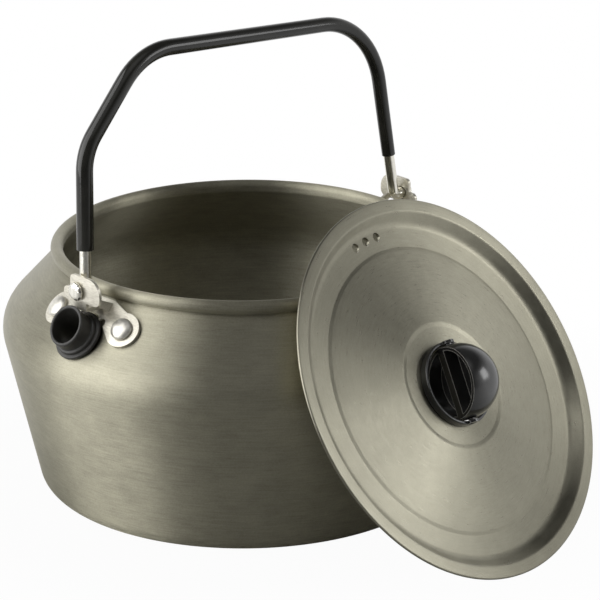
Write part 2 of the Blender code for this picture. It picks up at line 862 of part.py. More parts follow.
def make_bezel(home, cutters, look):
    place = lid_place()
    bezel = turned("knob_bezel", bezel_profile(), 40, look, home, closed=True)
    bezel.matrix_world = place
    across = Matrix.Rotation(math.pi / 2, 4, "Y")
    ring_mid = BALL_R + BALL_CLEAR + BEZEL_WALL / 2
    for sign in (-1, 1):
        at = place @ knob_axis_place() @ Matrix.Translation((sign * ring_mid, 0.0, 0.0)) @ across
        lug = rod("lug", LUG_R, 0.8 * BEZEL_WALL, at, cutters, 18)
        boolean(bezel, lug, "UNION")
        boolean(bezel, rod("pin_hole", PIN_R + HOLE_FIT, 4 * BEZEL_WALL, at, cutters, 14), "DIFFERENCE")
    return bezel


def make_clamp(home, look):
    top = crown_floor() - LID_T - GAP
    inner = skirt_in() + SKIRT_WALL + GAP
    outer = inner + CLAMP_W
    ring = [(inner, top), (outer, top), (outer, top - CLAMP_T), (inner, top - CLAMP_T)]
    clamp = turned("knob_clamp_ring", ring, 40, look, home, closed=True)
    clamp.matrix_world = lid_place()
    return clamp


def pocket_outline(sign):
    """A half disc beside the rib."""
    radius = math.sqrt(BALL_R**2 - BALL_CUT**2) - POCKET_RIM
    start = math.asin(RIB_W / 2 / radius)
    points = arc((0.0, 0.0), radius, start, math.pi - start, 14)
    return [(x, sign * y) for x, y in points]


def make_knob(home, cutters, look):
    turn = lid_place() @ knob_axis_place() @ Matrix.Rotation(KNOB_TURN, 4, "X")
    bpy.ops.mesh.primitive_uv_sphere_add(segments=28, ring_count=16, radius=BALL_R)
    ball = bpy.context.object
    ball.name = "knob_ball"
    move_to(ball, home)
    ball.matrix_world = turn
    ball.data.materials.append(look)
    size = 4 * BALL_R
    above = turn @ Matrix.Translation((0.0, 0.0, BALL_CUT + size / 2))
    boolean(ball, block("face_cut", (size, size, size), above, cutters), "DIFFERENCE")
    across = Matrix.Rotation(math.pi / 2, 4, "Y")
    for sign in (-1, 1):
        at = turn @ Matrix.Translation((0.0, 0.0, BALL_CUT))
        pocket = outline_plate("pocket", pocket_outline(sign), 2 * POCKET_DEPTH, at, None, cutters)
        boolean(ball, pocket, "DIFFERENCE")
        reach = BALL_R + BALL_CLEAR + 0.8 * BEZEL_WALL
        inner = 0.8 * BALL_R
        at = turn @ Matrix.Translation((sign * (reach + inner) / 2, 0.0, 0.0)) @ across
        boolean(ball, rod("pin", PIN_R, reach - inner, at, cutters, 14), "UNION")
    smooth(ball)
    keep_under(ball, empty("knob_axis", lid_place() @ knob_axis_place(), home))


def main():
    clear_scene()
    kettle = new_collection("camp_kettle")
    cutters = new_collection("cutters")
    anodised = material("anodised_aluminium", (0.23, 0.225, 0.20), 0.38, 1.0)
    stainless = material("stainless_plate", (0.72, 0.71, 0.68), 0.22, 1.0)
    rivet_metal = material("rivet_aluminium", (0.78, 0.77, 0.73), 0.35, 1.0)
    steel_wire = material("steel_wire", (0.70, 0.68, 0.64), 0.2, 1.0)
    sleeve_look = material("sleeve_plastic", (0.02, 0.02, 0.02), 0.4, 0.0)
    rubber = material("spout_rubber", (0.025, 0.024, 0.023), 0.55, 0.0)
    knob_look = material("knob_plastic", (0.015, 0.015, 0.016), 0.25, 0.0)

    make_body(kettle, cutters, anodised)
    make_spout(kettle, cutters, rubber)
    make_rivets(kettle, rivet_metal)
    make_brackets(kettle, cutters, stainless)
    make_bail(kettle, cutters, steel_wire, sleeve_look)
    make_lid(kettle, cutters, anodised)
    make_bezel(kettle, cutters, knob_look)
    make_clamp(kettle, knob_look)
    make_knob(kettle, cutters, knob_look)


main()
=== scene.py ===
import math

import bmesh
import bpy
from mathutils import Matrix, Vector


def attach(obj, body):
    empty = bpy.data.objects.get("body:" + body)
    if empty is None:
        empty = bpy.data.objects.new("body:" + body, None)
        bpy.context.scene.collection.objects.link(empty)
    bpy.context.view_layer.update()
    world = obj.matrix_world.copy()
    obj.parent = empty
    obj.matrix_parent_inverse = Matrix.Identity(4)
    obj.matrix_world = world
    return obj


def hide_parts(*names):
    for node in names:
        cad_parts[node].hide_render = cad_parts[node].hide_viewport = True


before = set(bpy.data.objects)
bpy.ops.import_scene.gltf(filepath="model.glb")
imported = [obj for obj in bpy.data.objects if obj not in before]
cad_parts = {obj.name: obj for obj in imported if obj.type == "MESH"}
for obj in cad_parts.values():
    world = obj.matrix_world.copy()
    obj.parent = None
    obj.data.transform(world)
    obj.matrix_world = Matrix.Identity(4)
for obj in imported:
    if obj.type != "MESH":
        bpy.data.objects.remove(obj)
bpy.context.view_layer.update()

# Kettle body. A deep-drawn aluminium pot with a flat base, a wall that widens up to the
# belly, a conical shoulder and a neck rolled outwards into a bead. It is turned and brushed
# round its axis, then hard-anodised to a warm satin grey. All sizes are in millimetres.
MM = 0.001
WALL = 1.2
GAP = 0.3
BASE_R = 68.8
BASE_ROUND = 6.2
BELLY_R = 82.16
BELLY_Z = 58.3
BELLY_ROUND = 12.7
SHOULDER_LEAN = math.radians(42.73)
NECK_R = 60.32
NECK_ROUND = 1.5
BEAD_R = 2.07
BEAD_END = math.radians(-78)
BEAD_LAP = 0.1
FITTING_SKEW = math.radians(1.1)
SPOUT_DROP = 11.8
SPOUT_R = 6.4
RIVET_AZIMUTH = math.radians(12.5)
RIVET_DROP = 7.6
RIVET_SHANK_R = 1.7
ANODISED_DARK = (0.270, 0.257, 0.198)
ANODISED_LIGHT = (0.475, 0.453, 0.352)


def arc(centre, radius, start, end, steps):
    """Points on a circle from one angle to another."""
    points = []
    for i in range(steps + 1):
        angle = start + (end - start) * i / steps
        points.append((centre[0] + radius * math.cos(angle), centre[1] + radius * math.sin(angle)))
    return points


def rounded(corners, step=math.radians(7)):
    """The open line through (a, b, radius) corners, each rounded by its radius."""
    points = []
    last = len(corners) - 1
    for i, (a, b, radius) in enumerate(corners):
        here = Vector((a, b))
        if i in (0, last) or radius <= 0:
            points.append((a, b))
            continue
        back = (Vector(corners[i - 1][:2]) - here).normalized()
        ahead = (Vector(corners[i + 1][:2]) - here).normalized()
        half = math.acos(max(-1.0, min(1.0, back.dot(ahead)))) / 2
        centre = here + (back + ahead).normalized() * (radius / math.sin(half))
        first = here + back * (radius / math.tan(half)) - centre
        turn = math.pi - 2 * half
        if back.cross(ahead) > 0:
            turn = -turn
        count = max(2, math.ceil(abs(turn) / step))
        start = math.atan2(first.y, first.x)
        points.extend(arc(centre, radius, start, start + turn, count))
    return points


def paced(profile, longest=3.0):
    """The same line with its long straight runs divided."""
    points = [profile[0]]
    for a, b in zip(profile, profile[1:]):
        count = max(1, math.ceil(math.dist(a, b) / longest))
        for k in range(1, count + 1):
            share = k / count
            points.append((a[0] + (b[0] - a[0]) * share, a[1] + (b[1] - a[1]) * share))
    return points


def line_crossing(p, along_p, q, along_q):
    """Where two lines meet, each given by a point and a direction."""
    share = (q - p).cross(along_q) / along_p.cross(along_q)
    return p + along_p * share


def join_rings(shape, a, b):
    """The faces between two rings of points, either of which may be a single point."""
    count = max(len(a), len(b))
    for i in range(count):
        j = (i + 1) % count
        if len(a) == 1:
            shape.faces.new((a[0], b[i], b[j]))
        elif len(b) == 1:
            shape.faces.new((a[i], b[0], a[j]))
        else:
            shape.faces.new((a[i], b[i], b[j], a[j]))


def turned(profile, steps, closed=False):
    """A profile of (radius, height) points turned round Z."""
    shape = bmesh.new()
    rings = []
    for r, z in profile:
        if r < 1e-6:
            rings.append([shape.verts.new((0.0, 0.0, z))])
            continue
        ring = []
        for i in range(steps):
            angle = 2 * math.pi * i / steps
            ring.append(shape.verts.new((r * math.cos(angle), r * math.sin(angle), z)))
        rings.append(ring)
    pairs = list(zip(rings, rings[1:]))
    if closed:
        pairs.append((rings[-1], rings[0]))
    for a, b in pairs:
        join_rings(shape, a, b)
    return shape


def placed(name, shape, place=Matrix.Identity(4)):
    """An object in metres of a shape in millimetres."""
    bmesh.ops.recalc_face_normals(shape, faces=shape.faces)
    mesh = bpy.data.meshes.new(name)
    shape.to_mesh(mesh)
    shape.free()
    mesh.transform(place.to_3x3().to_4x4() @ Matrix.Diagonal((MM, MM, MM, 1.0)))
    made = bpy.data.objects.new(name, mesh)
    bpy.context.scene.collection.objects.link(made)
    made.location = place.translation * MM
    return made


def trimmed(made, cutters, operation="DIFFERENCE"):
    """Cuts or joins other pieces, and keeps only the result."""
    for cutter in cutters:
        step = made.modifiers.new(cutter.name, "BOOLEAN")
        step.operation = operation
        step.solver = "EXACT"
        step.object = cutter
    settle(made)
    for cutter in cutters:
        bpy.data.objects.remove(cutter, do_unlink=True)
    return made


def settle(made):
    """Keeps the shape that the modifiers give as the piece's own mesh."""
    bpy.context.view_layer.update()
    seen = made.evaluated_get(bpy.context.evaluated_depsgraph_get())
    mesh = bpy.data.meshes.new_from_object(seen)
    made.modifiers.clear()
    made.data = mesh
    return made


def shown(made, look, body, slot, *nodes, sharp=math.radians(34)):
    """Gives a piece its material, shading and body, and hides the CAD nodes it stands for; the slot
    is not used.
    """
    made.data.materials.clear()
    made.data.materials.append(look)
    made.data.shade_smooth()
    made.data.set_sharp_from_angle(angle=sharp)
    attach(made, body)
    if nodes:
        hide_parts(*nodes)
    return made


def facing(origin, x, y):
    """A placement with its X and Y along two given square directions."""
    x = Vector(x).normalized()
    y = Vector(y).normalized()
    z = x.cross(y)
    return Matrix.Translation(origin) @ Matrix((x, y, z)).transposed().to_4x4()


def drill(radius, length, place, steps=40):
    """A round bar along its own Z, to cut a hole with or to add."""
    half = length / 2
    profile = [(0, -half), (radius, -half), (radius, half), (0, half)]
    return placed("drill", turned(profile, steps), place)


def shoulder_r(z):
    """The shoulder's radius at a height."""
    return BELLY_R - (z - BELLY_Z) * math.tan(SHOULDER_LEAN)


def shoulder_z(r):
    """The shoulder's height at a radius."""
    return BELLY_Z + (BELLY_R - r) / math.tan(SHOULDER_LEAN)


def up_shoulder():
    """(radius, height) direction up the shoulder."""
    return Vector((-math.sin(SHOULDER_LEAN), math.cos(SHOULDER_LEAN)))


def off_shoulder():
    """(radius, height) direction square out of the shoulder."""
    return Vector((math.cos(SHOULDER_LEAN), math.sin(SHOULDER_LEAN)))


def on_shoulder(azimuth, z):
    """A placement on the shoulder: X round the kettle, Y up the slope, Z square out."""
    outward = Vector((math.sin(azimuth), -math.cos(azimuth), 0.0))
    slope = up_shoulder()
    up = outward * slope.x + Vector((0.0, 0.0, slope.y))
    round_it = (math.cos(azimuth), math.sin(azimuth), 0.0)
    return facing(outward * shoulder_r(z) + Vector((0.0, 0.0, z)), round_it, up)


def crease():
    """(radius, height) of the crease between shoulder and bead."""
    r = NECK_R + BEAD_R
    return r, shoulder_z(r)


def spout_z():
    return crease()[1] - SPOUT_DROP


def rivet_z():
    return crease()[1] - RIVET_DROP


def bead_centre():
    r, z = crease()
    return r, z + BEAD_R


def body_profile():
    """The inside from the axis up to the neck, over the bead, and the outside back down."""
    base = Vector((BASE_R, 0.0))
    belly = Vector((BELLY_R, BELLY_Z))
    wall = (belly - base).normalized()
    inward = Vector((-wall.y, wall.x))
    slope = up_shoulder()
    in_base = line_crossing(Vector((0.0, WALL)), Vector((1.0, 0.0)), base + inward * WALL, wall)
    in_shoulder = belly - off_shoulder() * WALL
    in_belly = line_crossing(base + inward * WALL, wall, in_shoulder, slope)
    in_neck = line_crossing(in_shoulder, slope, Vector((NECK_R, 0.0)), Vector((0.0, 1.0)))
    bead_r, bead_z = bead_centre()
    inside = rounded([
        (0.0, WALL, 0.0),
        (in_base.x, in_base.y, BASE_ROUND - WALL),
        (in_belly.x, in_belly.y, BELLY_ROUND - WALL),
        (in_neck.x, in_neck.y, NECK_ROUND),
        (NECK_R, bead_z, 0.0),
    ])
    bead = arc((bead_r, bead_z), BEAD_R, math.pi, BEAD_END, 26)
    crease_r = bead_r + BEAD_R * math.cos(BEAD_END) - BEAD_LAP
    outside = rounded([
        (crease_r, shoulder_z(crease_r), 0.0),
        (belly.x, belly.y, BELLY_ROUND),
        (base.x, base.y, BASE_ROUND),
        (0.0, 0.0, 0.0),
    ])
    return paced(inside)[:-1] + bead + paced(outside)


def rivet_places():
    """Each rivet's name and its place on the shoulder."""
    places = {}
    for end, start in (("front", FITTING_SKEW), ("rear", math.pi - FITTING_SKEW)):
        for side, sign in (("right", 1), ("left", -1)):
            places[f"{end}_rivet_{side}"] = on_shoulder(start + sign * RIVET_AZIMUTH, rivet_z())
    return places


def add(tree, kind, inputs={}, **settings):
    """A shader node with its settings, and its inputs set or linked."""
    made = tree.nodes.new("ShaderNode" + kind)
    for name, value in settings.items():
        setattr(made, name, value)
    for key, value in inputs.items():
        if isinstance(value, bpy.types.NodeSocket):
            tree.links.new(value, made.inputs[key])
        else:
            made.inputs[key].default_value = value
    return made


def maths(tree, operation, a, b):
    """A calculation with two values, each a socket or a number."""
    made = tree.nodes.new("ShaderNodeMath")
    made.operation = operation
    for socket, value in zip(made.inputs, (a, b)):
        if isinstance(value, bpy.types.NodeSocket):
            tree.links.new(value, socket)
        else:
            socket.default_value = value
    return made.outputs[0]


def spread(tree, value, low, high, to_low, to_high):
    """The value mapped from one range to another, and held inside it."""
    inputs = {"Value": value, "From Min": low, "From Max": high,
              "To Min": to_low, "To Max": to_high}
    return add(tree, "MapRange", inputs, clamp=True).outputs["Result"]


def blended(tree, share, first, second):
    """A colour between two, each a socket or (r, g, b)."""
    mix = tree.nodes.new("ShaderNodeMix")
    mix.data_type = "RGBA"
    tree.links.new(share, mix.inputs["Factor"])
    for key, colour in (("A", first), ("B", second)):
        socket = next(s for s in mix.inputs if s.name == key and s.type == "RGBA")
        if isinstance(colour, bpy.types.NodeSocket):
            tree.links.new(colour, socket)
        else:
            socket.default_value = (*colour, 1.0)
    return next(s for s in mix.outputs if s.type == "RGBA")


def turning_marks_group():
    """Fine lines round the axis of a turned piece, and the broad bands among them."""
    group = bpy.data.node_groups.new("turning_marks", "ShaderNodeTree")
    group.interface.new_socket("Place", in_out="INPUT", socket_type="NodeSocketVector")
    for key, value in (("Lines per metre", 2600.0), ("Length", 9.0)):
        socket = group.interface.new_socket(key, in_out="INPUT", socket_type="NodeSocketFloat")
        socket.default_value = value
    for key in ("Lines", "Bands", "Cloud"):
        group.interface.new_socket(key, in_out="OUTPUT", socket_type="NodeSocketFloat")
    given = group.nodes.new("NodeGroupInput").outputs
    out = group.nodes.new("NodeGroupOutput").inputs
    where = given["Place"]
    axes = add(group, "SeparateXYZ", {"Vector": where}).outputs
    flat = add(group, "CombineXYZ", {"X": axes["X"], "Y": axes["Y"]}).outputs[0]
    radius = add(group, "VectorMath", {0: flat}, operation="LENGTH").outputs["Value"]
    safe = maths(group, "MAXIMUM", radius, 0.0005)
    run = maths(group, "SUBTRACT", axes["Z"], maths(group, "MULTIPLY", radius, 0.8))
    round_x = maths(group, "MULTIPLY", maths(group, "DIVIDE", axes["X"], safe), given["Length"])
    round_y = maths(group, "MULTIPLY", maths(group, "DIVIDE", axes["Y"], safe), given["Length"])
    for key, share, detail in (("Lines", 1.0, 4.0), ("Bands", 0.09, 2.0)):
        pitch = maths(group, "MULTIPLY", given["Lines per metre"], share)
        along = maths(group, "MULTIPLY", run, pitch)
        vector = add(group, "CombineXYZ", {"X": round_x, "Y": round_y, "Z": along}).outputs[0]
        lines = {"Vector": vector, "Scale": 1.0, "Detail": detail, "Roughness": 0.6}
        group.links.new(add(group, "TexNoise", lines).outputs["Fac"], out[key])
    cloud = {"Vector": where, "Scale": 28.0, "Detail": 3.0, "Roughness": 0.55}
    group.links.new(add(group, "TexNoise", cloud).outputs["Fac"], out["Cloud"])
    return group


TURNING_MARKS = turning_marks_group()


def principled(name):
    """A new material, its node tree and its main shader."""
    look = bpy.data.materials.new(name)
    look.use_nodes = True
    return look, look.node_tree, look.node_tree.nodes["Principled BSDF"]


def bumped(tree, shader, height, strength, distance):
    """Feeds a height to the shader's normal, with its depth in millimetres."""
    bump = add(tree, "Bump", {"Height": height, "Strength": strength, "Distance": distance * MM})
    tree.links.new(bump.outputs["Normal"], shader.inputs["Normal"])


def anodised(name, dark, light, rough, stretch, axis_turn=(0.0, 0.0, 0.0), lines=2600.0):
    """Hard-anodised aluminium turned round the Z of a frame with the given rotation."""
    look, tree, shader = principled(name)
    marks = tree.nodes.new("ShaderNodeGroup")
    marks.node_tree = TURNING_MARKS
    marks.inputs["Lines per metre"].default_value = lines
    here = add(tree, "TexCoord").outputs["Object"]
    turned_frame = {"Vector": here, "Rotation": axis_turn}
    where = add(tree, "Mapping", turned_frame, vector_type="TEXTURE").outputs["Vector"]
    tree.links.new(where, marks.inputs["Place"])
    grain = add(tree, "TexNoise", {"Vector": where, "Scale": 1900.0, "Detail": 2.0}).outputs["Fac"]
    tone = maths(tree, "ADD", maths(tree, "MULTIPLY", marks.outputs["Lines"], 0.6),
                 maths(tree, "MULTIPLY", marks.outputs["Bands"], 0.3))
    tone = maths(tree, "ADD", tone, maths(tree, "MULTIPLY", grain, 0.35))
    tone = maths(tree, "ADD", tone, maths(tree, "MULTIPLY", marks.outputs["Cloud"], 0.25))
    share = spread(tree, tone, 0.45, 0.95, 0.0, 1.0)
    tree.links.new(blended(tree, share, dark, light), shader.inputs["Base Color"])
    uneven = spread(tree, marks.outputs["Lines"], 0.25, 0.75, rough - 0.05, rough + 0.05)
    tree.links.new(uneven, shader.inputs["Roughness"])
    shader.inputs["Metallic"].default_value = 1.0
    shader.inputs["Anisotropic"].default_value = stretch
    shader.inputs["Anisotropic Rotation"].default_value = 0.25
    axis = (0.0, 0.0, 1.0)
    round_it = add(tree, "VectorMath", {0: axis, 1: where}, operation="CROSS_PRODUCT")
    kettle_frame = {"Vector": round_it.outputs["Vector"], "Rotation": axis_turn}
    turned_back = add(tree, "Mapping", kettle_frame, vector_type="VECTOR")
    tangent = add(tree, "VectorTransform", {"Vector": turned_back.outputs["Vector"]},
                  vector_type="VECTOR", convert_from="OBJECT", convert_to="WORLD")
    tree.links.new(tangent.outputs["Vector"], shader.inputs["Tangent"])
    height = maths(tree, "ADD", marks.outputs["Lines"], maths(tree, "MULTIPLY", grain, 0.4))
    bumped(tree, shader, height, 0.35, 0.02)
    return look


body = placed("kettle_shell", turned(body_profile(), 240))
holes = [drill(SPOUT_R + GAP, 12 * WALL, on_shoulder(FITTING_SKEW, spout_z()))]
for place in rivet_places().values():
    holes.append(drill(RIVET_SHANK_R + GAP, 10 * WALL, place, 24))
trimmed(body, holes)
ANODISED = anodised("anodised_body", ANODISED_DARK, ANODISED_LIGHT, rough=0.48, stretch=0.92)
shown(body, ANODISED, "kettle", "anodised_aluminium", "kettle_body")

# Spout tip. A moulded black rubber grommet pushed through the shoulder: a lip inside, a
# stepped flange outside and a short tube whose mouth is cut slantwise with a rounded rim.
SPOUT_BORE_R = 5.2
SPOUT_LENGTH = 8.1
SPOUT_MOUTH_R = 6.7
SPOUT_CUT = SHOULDER_LEAN - math.radians(31.0)
SPOUT_FLANGE_R = 8.5
SPOUT_FLANGE_T = 1.2
SPOUT_STEP_R = 7.4
SPOUT_STEP_T = 1.3
SPOUT_NECK_RISE = 1.6
SPOUT_LIP_R = 7.6
SPOUT_LIP_T = 1.5
SPOUT_LIP_DROP = 0.6
RUBBER = (0.032, 0.031, 0.028)
RUBBER_WORN = (0.064, 0.062, 0.056)


def spout_shape():
    """The grommet from rings of (radius, height, share of the mouth's slant)."""
    steps = 72
    lip_top = -(WALL + SPOUT_LIP_DROP)
    lip_low = lip_top - SPOUT_LIP_T
    flange_top = GAP + SPOUT_FLANGE_T
    step_top = flange_top + SPOUT_STEP_T
    neck = step_top + SPOUT_NECK_RISE
    rim = (SPOUT_R - SPOUT_BORE_R) / 2
    mouth = SPOUT_LENGTH - rim
    outer = rounded([
        (SPOUT_BORE_R, lip_low, 0.0),
        (SPOUT_LIP_R - 0.4, lip_low, 0.3),
        (SPOUT_LIP_R, lip_low + 0.5, 0.4),
        (SPOUT_LIP_R, lip_top, 0.3),
        (SPOUT_R, lip_top, 0.2),
        (SPOUT_R, GAP, 0.1),
        (SPOUT_FLANGE_R, GAP, 0.25),
        (SPOUT_FLANGE_R, flange_top, 0.55),
        (SPOUT_STEP_R, flange_top, 0.25),
        (SPOUT_STEP_R, step_top, 0.55),
        (SPOUT_R + 0.05, step_top, 0.45),
        (SPOUT_R, neck, 0.0),
    ], math.radians(18))
    rings = [(r, z, 0.0) for r, z in outer]
    for share in (0.25, 0.5, 0.75, 0.95):
        flare = SPOUT_R + (SPOUT_MOUTH_R - SPOUT_R) * share**2
        rings.append((flare, neck + (mouth - neck) * share, share))
    for r, z in arc((SPOUT_MOUTH_R - rim, mouth), rim, 0.0, math.pi, 9):
        rings.append((r, z, 1.0))
    for share in (0.75, 0.5, 0.25, 0.0):
        rings.append((SPOUT_BORE_R, mouth * share, share))
    shape = bmesh.new()
    made = []
    for r, z, slant in rings:
        ring = []
        for i in range(steps):
            angle = 2 * math.pi * i / steps
            x = r * math.cos(angle)
            y = r * math.sin(angle)
            ring.append(shape.verts.new((x, y, z + slant * math.tan(SPOUT_CUT) * y)))
        made.append(ring)
    for a, b in zip(made, made[1:] + made[:1]):
        join_rings(shape, a, b)
    return shape


def rubber():
    look, tree, shader = principled("spout_rubber")
    where = add(tree, "TexCoord").outputs["Object"]
    noise = {"Vector": where, "Scale": 260.0, "Detail": 5.0, "Roughness": 0.65}
    bloom = add(tree, "TexNoise", noise).outputs["Fac"]
    grain = add(tree, "TexNoise", {"Vector": where, "Scale": 3200.0, "Detail": 2.0}).outputs["Fac"]
    share = spread(tree, bloom, 0.42, 0.72, 0.0, 0.7)
    tree.links.new(blended(tree, share, RUBBER, RUBBER_WORN), shader.inputs["Base Color"])
    tree.links.new(spread(tree, bloom, 0.3, 0.7, 0.36, 0.5), shader.inputs["Roughness"])
    shader.inputs["Specular IOR Level"].default_value = 0.5
    bumped(tree, shader, grain, 0.25, 0.03)
    return look


spout = placed("spout_grommet", spout_shape(), on_shoulder(FITTING_SKEW, spout_z()))
shown(spout, rubber(), "kettle", "spout_rubber", "spout_tip", sharp=math.radians(60))

# Brackets. Two alike, each pressed from one stainless plate: a strap with a round lobe at
# each rivet lies on the shoulder, and a bridge rises from it to the eye for the bail's foot.
PLATE = 1.0
PIVOT_RISE = 3.8
FRONT_REACH = 7.9
REAR_REACH = 6.5
FOOT_BEND = 2.05
WIRE_R = 1.85
EYE_GAP = 0.4
EYE_RIGHT = 10.4
EYE_LEFT = 3.4
EYE_ABOVE = 5.2
EYE_BELOW = 3.4
EYE_ROUND = 5.2
EAR_LEFT = 6.6
EAR_ABOVE = 0.6
EAR_ROUND = 1.8
BAND_W = 8.0
LOBE_R = 5.9
LOBE_FROM = math.radians(-115)
LOBE_TO = math.radians(105)
STRAP_TOP_HALF = 7.0
STRAP_TOP_MARGIN = 1.3
WEB_ROOT = 1.9
GUSSET_X = 6.3
GUSSET_FOOT = 3.0
NOTCH_X = 6.4
NOTCH_R = 1.5
NOTCH_FROM = math.radians(160)
NOTCH_TO = math.radians(-40)
ROUND_SPOUT_FROM = math.radians(115)
ROUND_SPOUT_TO = math.radians(65)
PLATE_EDGE = 0.22
STEEL_DARK = (0.60, 0.57, 0.48)
STEEL_LIGHT = (0.80, 0.77, 0.67)


def pivot_z():
    return crease()[1] + PIVOT_RISE


def slope_point(up, out):
    """(radius, height) of a point up the slope from the rivets' level and out of the shoulder."""
    at = Vector((shoulder_r(rivet_z()), rivet_z())) + up_shoulder() * up + off_shoulder() * out
    return at.x, at.y


def up_slope(z):
    """How far up the slope from the rivets' level a height lies."""
    return (z - rivet_z()) / math.cos(SHOULDER_LEAN)


def strap_top():
    return up_slope(crease()[1]) - STRAP_TOP_MARGIN


def strap_outline():
    """The strap seen square on: two lobes, a straight top and notches beside the spout."""
    r = shoulder_r(rivet_z())
    lobe_x = r * math.sin(RIVET_AZIMUTH)
    lobe_y = r * (1 - math.cos(RIVET_AZIMUTH)) * math.sin(SHOULDER_LEAN)
    top = strap_top()
    right = arc((lobe_x, lobe_y), LOBE_R, LOBE_FROM, LOBE_TO, 30)
    left = [(-x, y) for x, y in reversed(right)]
    spout_y = up_slope(spout_z())
    cut_r = SPOUT_FLANGE_R + 2 * GAP
    notch_y = spout_y + math.sqrt(cut_r**2 - NOTCH_X**2)
    round_spout = arc((0.0, spout_y), cut_r, ROUND_SPOUT_FROM, ROUND_SPOUT_TO, 14)
    right_notch = arc((NOTCH_X, notch_y), NOTCH_R, NOTCH_FROM, NOTCH_TO, 14)
    left_notch = [(-x, y) for x, y in reversed(right_notch)]
    top_edge = [(STRAP_TOP_HALF, top), (-STRAP_TOP_HALF, top)]
    return right + top_edge + left + left_notch + round_spout + right_notch


def plate(outline, thickness, place):
    """A flat outline given its thickness about its own plane."""
    shape = bmesh.new()
    low = shape.faces.new([shape.verts.new((x, y, -thickness / 2)) for x, y in outline])
    grown = bmesh.ops.extrude_face_region(shape, geom=[low])
    raised = [item for item in grown["geom"] if isinstance(item, bmesh.types.BMVert)]
    bmesh.ops.translate(shape, verts=raised, vec=(0.0, 0.0, thickness))
    return placed("plate", shape, place)


def eye_plane():
    """How far out from the kettle's axis the middle of the eye plates stands."""
    return crease()[0] + max(FRONT_REACH, REAR_REACH) + FOOT_BEND + EYE_GAP + PLATE / 2


def eye_outline():
    """The flat eye panel with its ear, seen from the front."""
    top = pivot_z() + EYE_ABOVE
    low = pivot_z() - EYE_BELOW
    step = pivot_z() + EAR_ABOVE
    corners = [
        (EYE_RIGHT, top, EYE_ROUND),
        (-EYE_LEFT, top, 0.3 * EYE_ROUND),
        (-EYE_LEFT, step, 0.1 * EYE_ROUND),
        (-EAR_LEFT, step, EAR_ROUND),
        (-EAR_LEFT, low, EAR_ROUND),
        (EYE_RIGHT, low, 0.5 * EYE_ROUND),
    ]
    return rounded([corners[-1], *corners, corners[0]])[1:-1]


def band_outline():
    """The bridge from the side, from the strap out and up to the eye."""
    outer = eye_plane() + PLATE / 2
    inner = outer - PLATE
    start = slope_point(strap_top() - WEB_ROOT - 0.5 * PLATE, GAP + 0.2 * PLATE)
    under = slope_point(strap_top() - WEB_ROOT - 2 * PLATE, GAP + PLATE)
    back = slope_point(strap_top() - WEB_ROOT + 0.5 * PLATE, GAP + 0.7 * PLATE)
    web_low = under[1] + 0.6 * PLATE
    top = pivot_z() - EYE_BELOW + 0.9 * PLATE
    return [start, under, (outer, web_low), (outer, top), (inner, top),
            (inner, web_low + PLATE), back]


def gusset_outline():
    """One folded side of the bridge."""
    inner = eye_plane()
    low = pivot_z() - EYE_BELOW + 0.2 * PLATE
    return [
        slope_point(strap_top() - GUSSET_FOOT - PLATE, GAP + 0.6 * PLATE),
        (inner, low),
        (inner, low + 0.8 * GUSSET_FOOT),
        slope_point(strap_top() - PLATE, GAP + 0.6 * PLATE),
    ]


def softened(made, width, angle=math.radians(35)):
    """Breaks the sharp edges, as a press or a mould leaves them."""
    edge = made.modifiers.new("soft_edges", "BEVEL")
    edge.width = width * MM
    edge.segments = 3
    edge.limit_method = "ANGLE"
    edge.angle_limit = angle
    edge.harden_normals = False
    edge.use_clamp_overlap = True
    return settle(made)


def bracket(name, turn):
    """The whole plate, made facing the front and then turned to its end of the kettle."""
    low = up_slope(spout_z()) - SPOUT_FLANGE_R
    high = up_slope(crease()[1]) + PLATE
    ring = [slope_point(high, GAP + PLATE), slope_point(low, GAP + PLATE),
            slope_point(low, GAP), slope_point(high, GAP)]
    made = placed(name, turned(ring, 240, closed=True))
    trim = plate(strap_outline(), 14 * PLATE, on_shoulder(0.0, rivet_z()))
    trimmed(made, [trim], "INTERSECT")
    side = facing((0.0, 0.0, 0.0), (0.0, -1.0, 0.0), (0.0, 0.0, 1.0))
    front = facing((0.0, -eye_plane(), 0.0), (1.0, 0.0, 0.0), (0.0, 0.0, 1.0))
    joined = [plate(band_outline(), BAND_W, side), plate(eye_outline(), PLATE, front)]
    for sign in (-1, 1):
        aside = Matrix.Translation((sign * GUSSET_X, 0.0, 0.0))
        joined.append(plate(gusset_outline(), PLATE, aside @ side))
    trimmed(made, joined, "UNION")
    holes = []
    for sign in (-1, 1):
        at = on_shoulder(sign * RIVET_AZIMUTH, rivet_z())
        holes.append(drill(RIVET_SHANK_R + GAP, 10 * PLATE, at, 24))
    eye = facing((0.0, -eye_plane(), pivot_z()), (1.0, 0.0, 0.0), (0.0, 0.0, 1.0))
    holes.append(drill(WIRE_R + GAP, 4 * PLATE, eye, 32))
    trimmed(made, holes)
    softened(made, PLATE_EDGE)
    made.rotation_euler = (0.0, 0.0, turn)
    return made


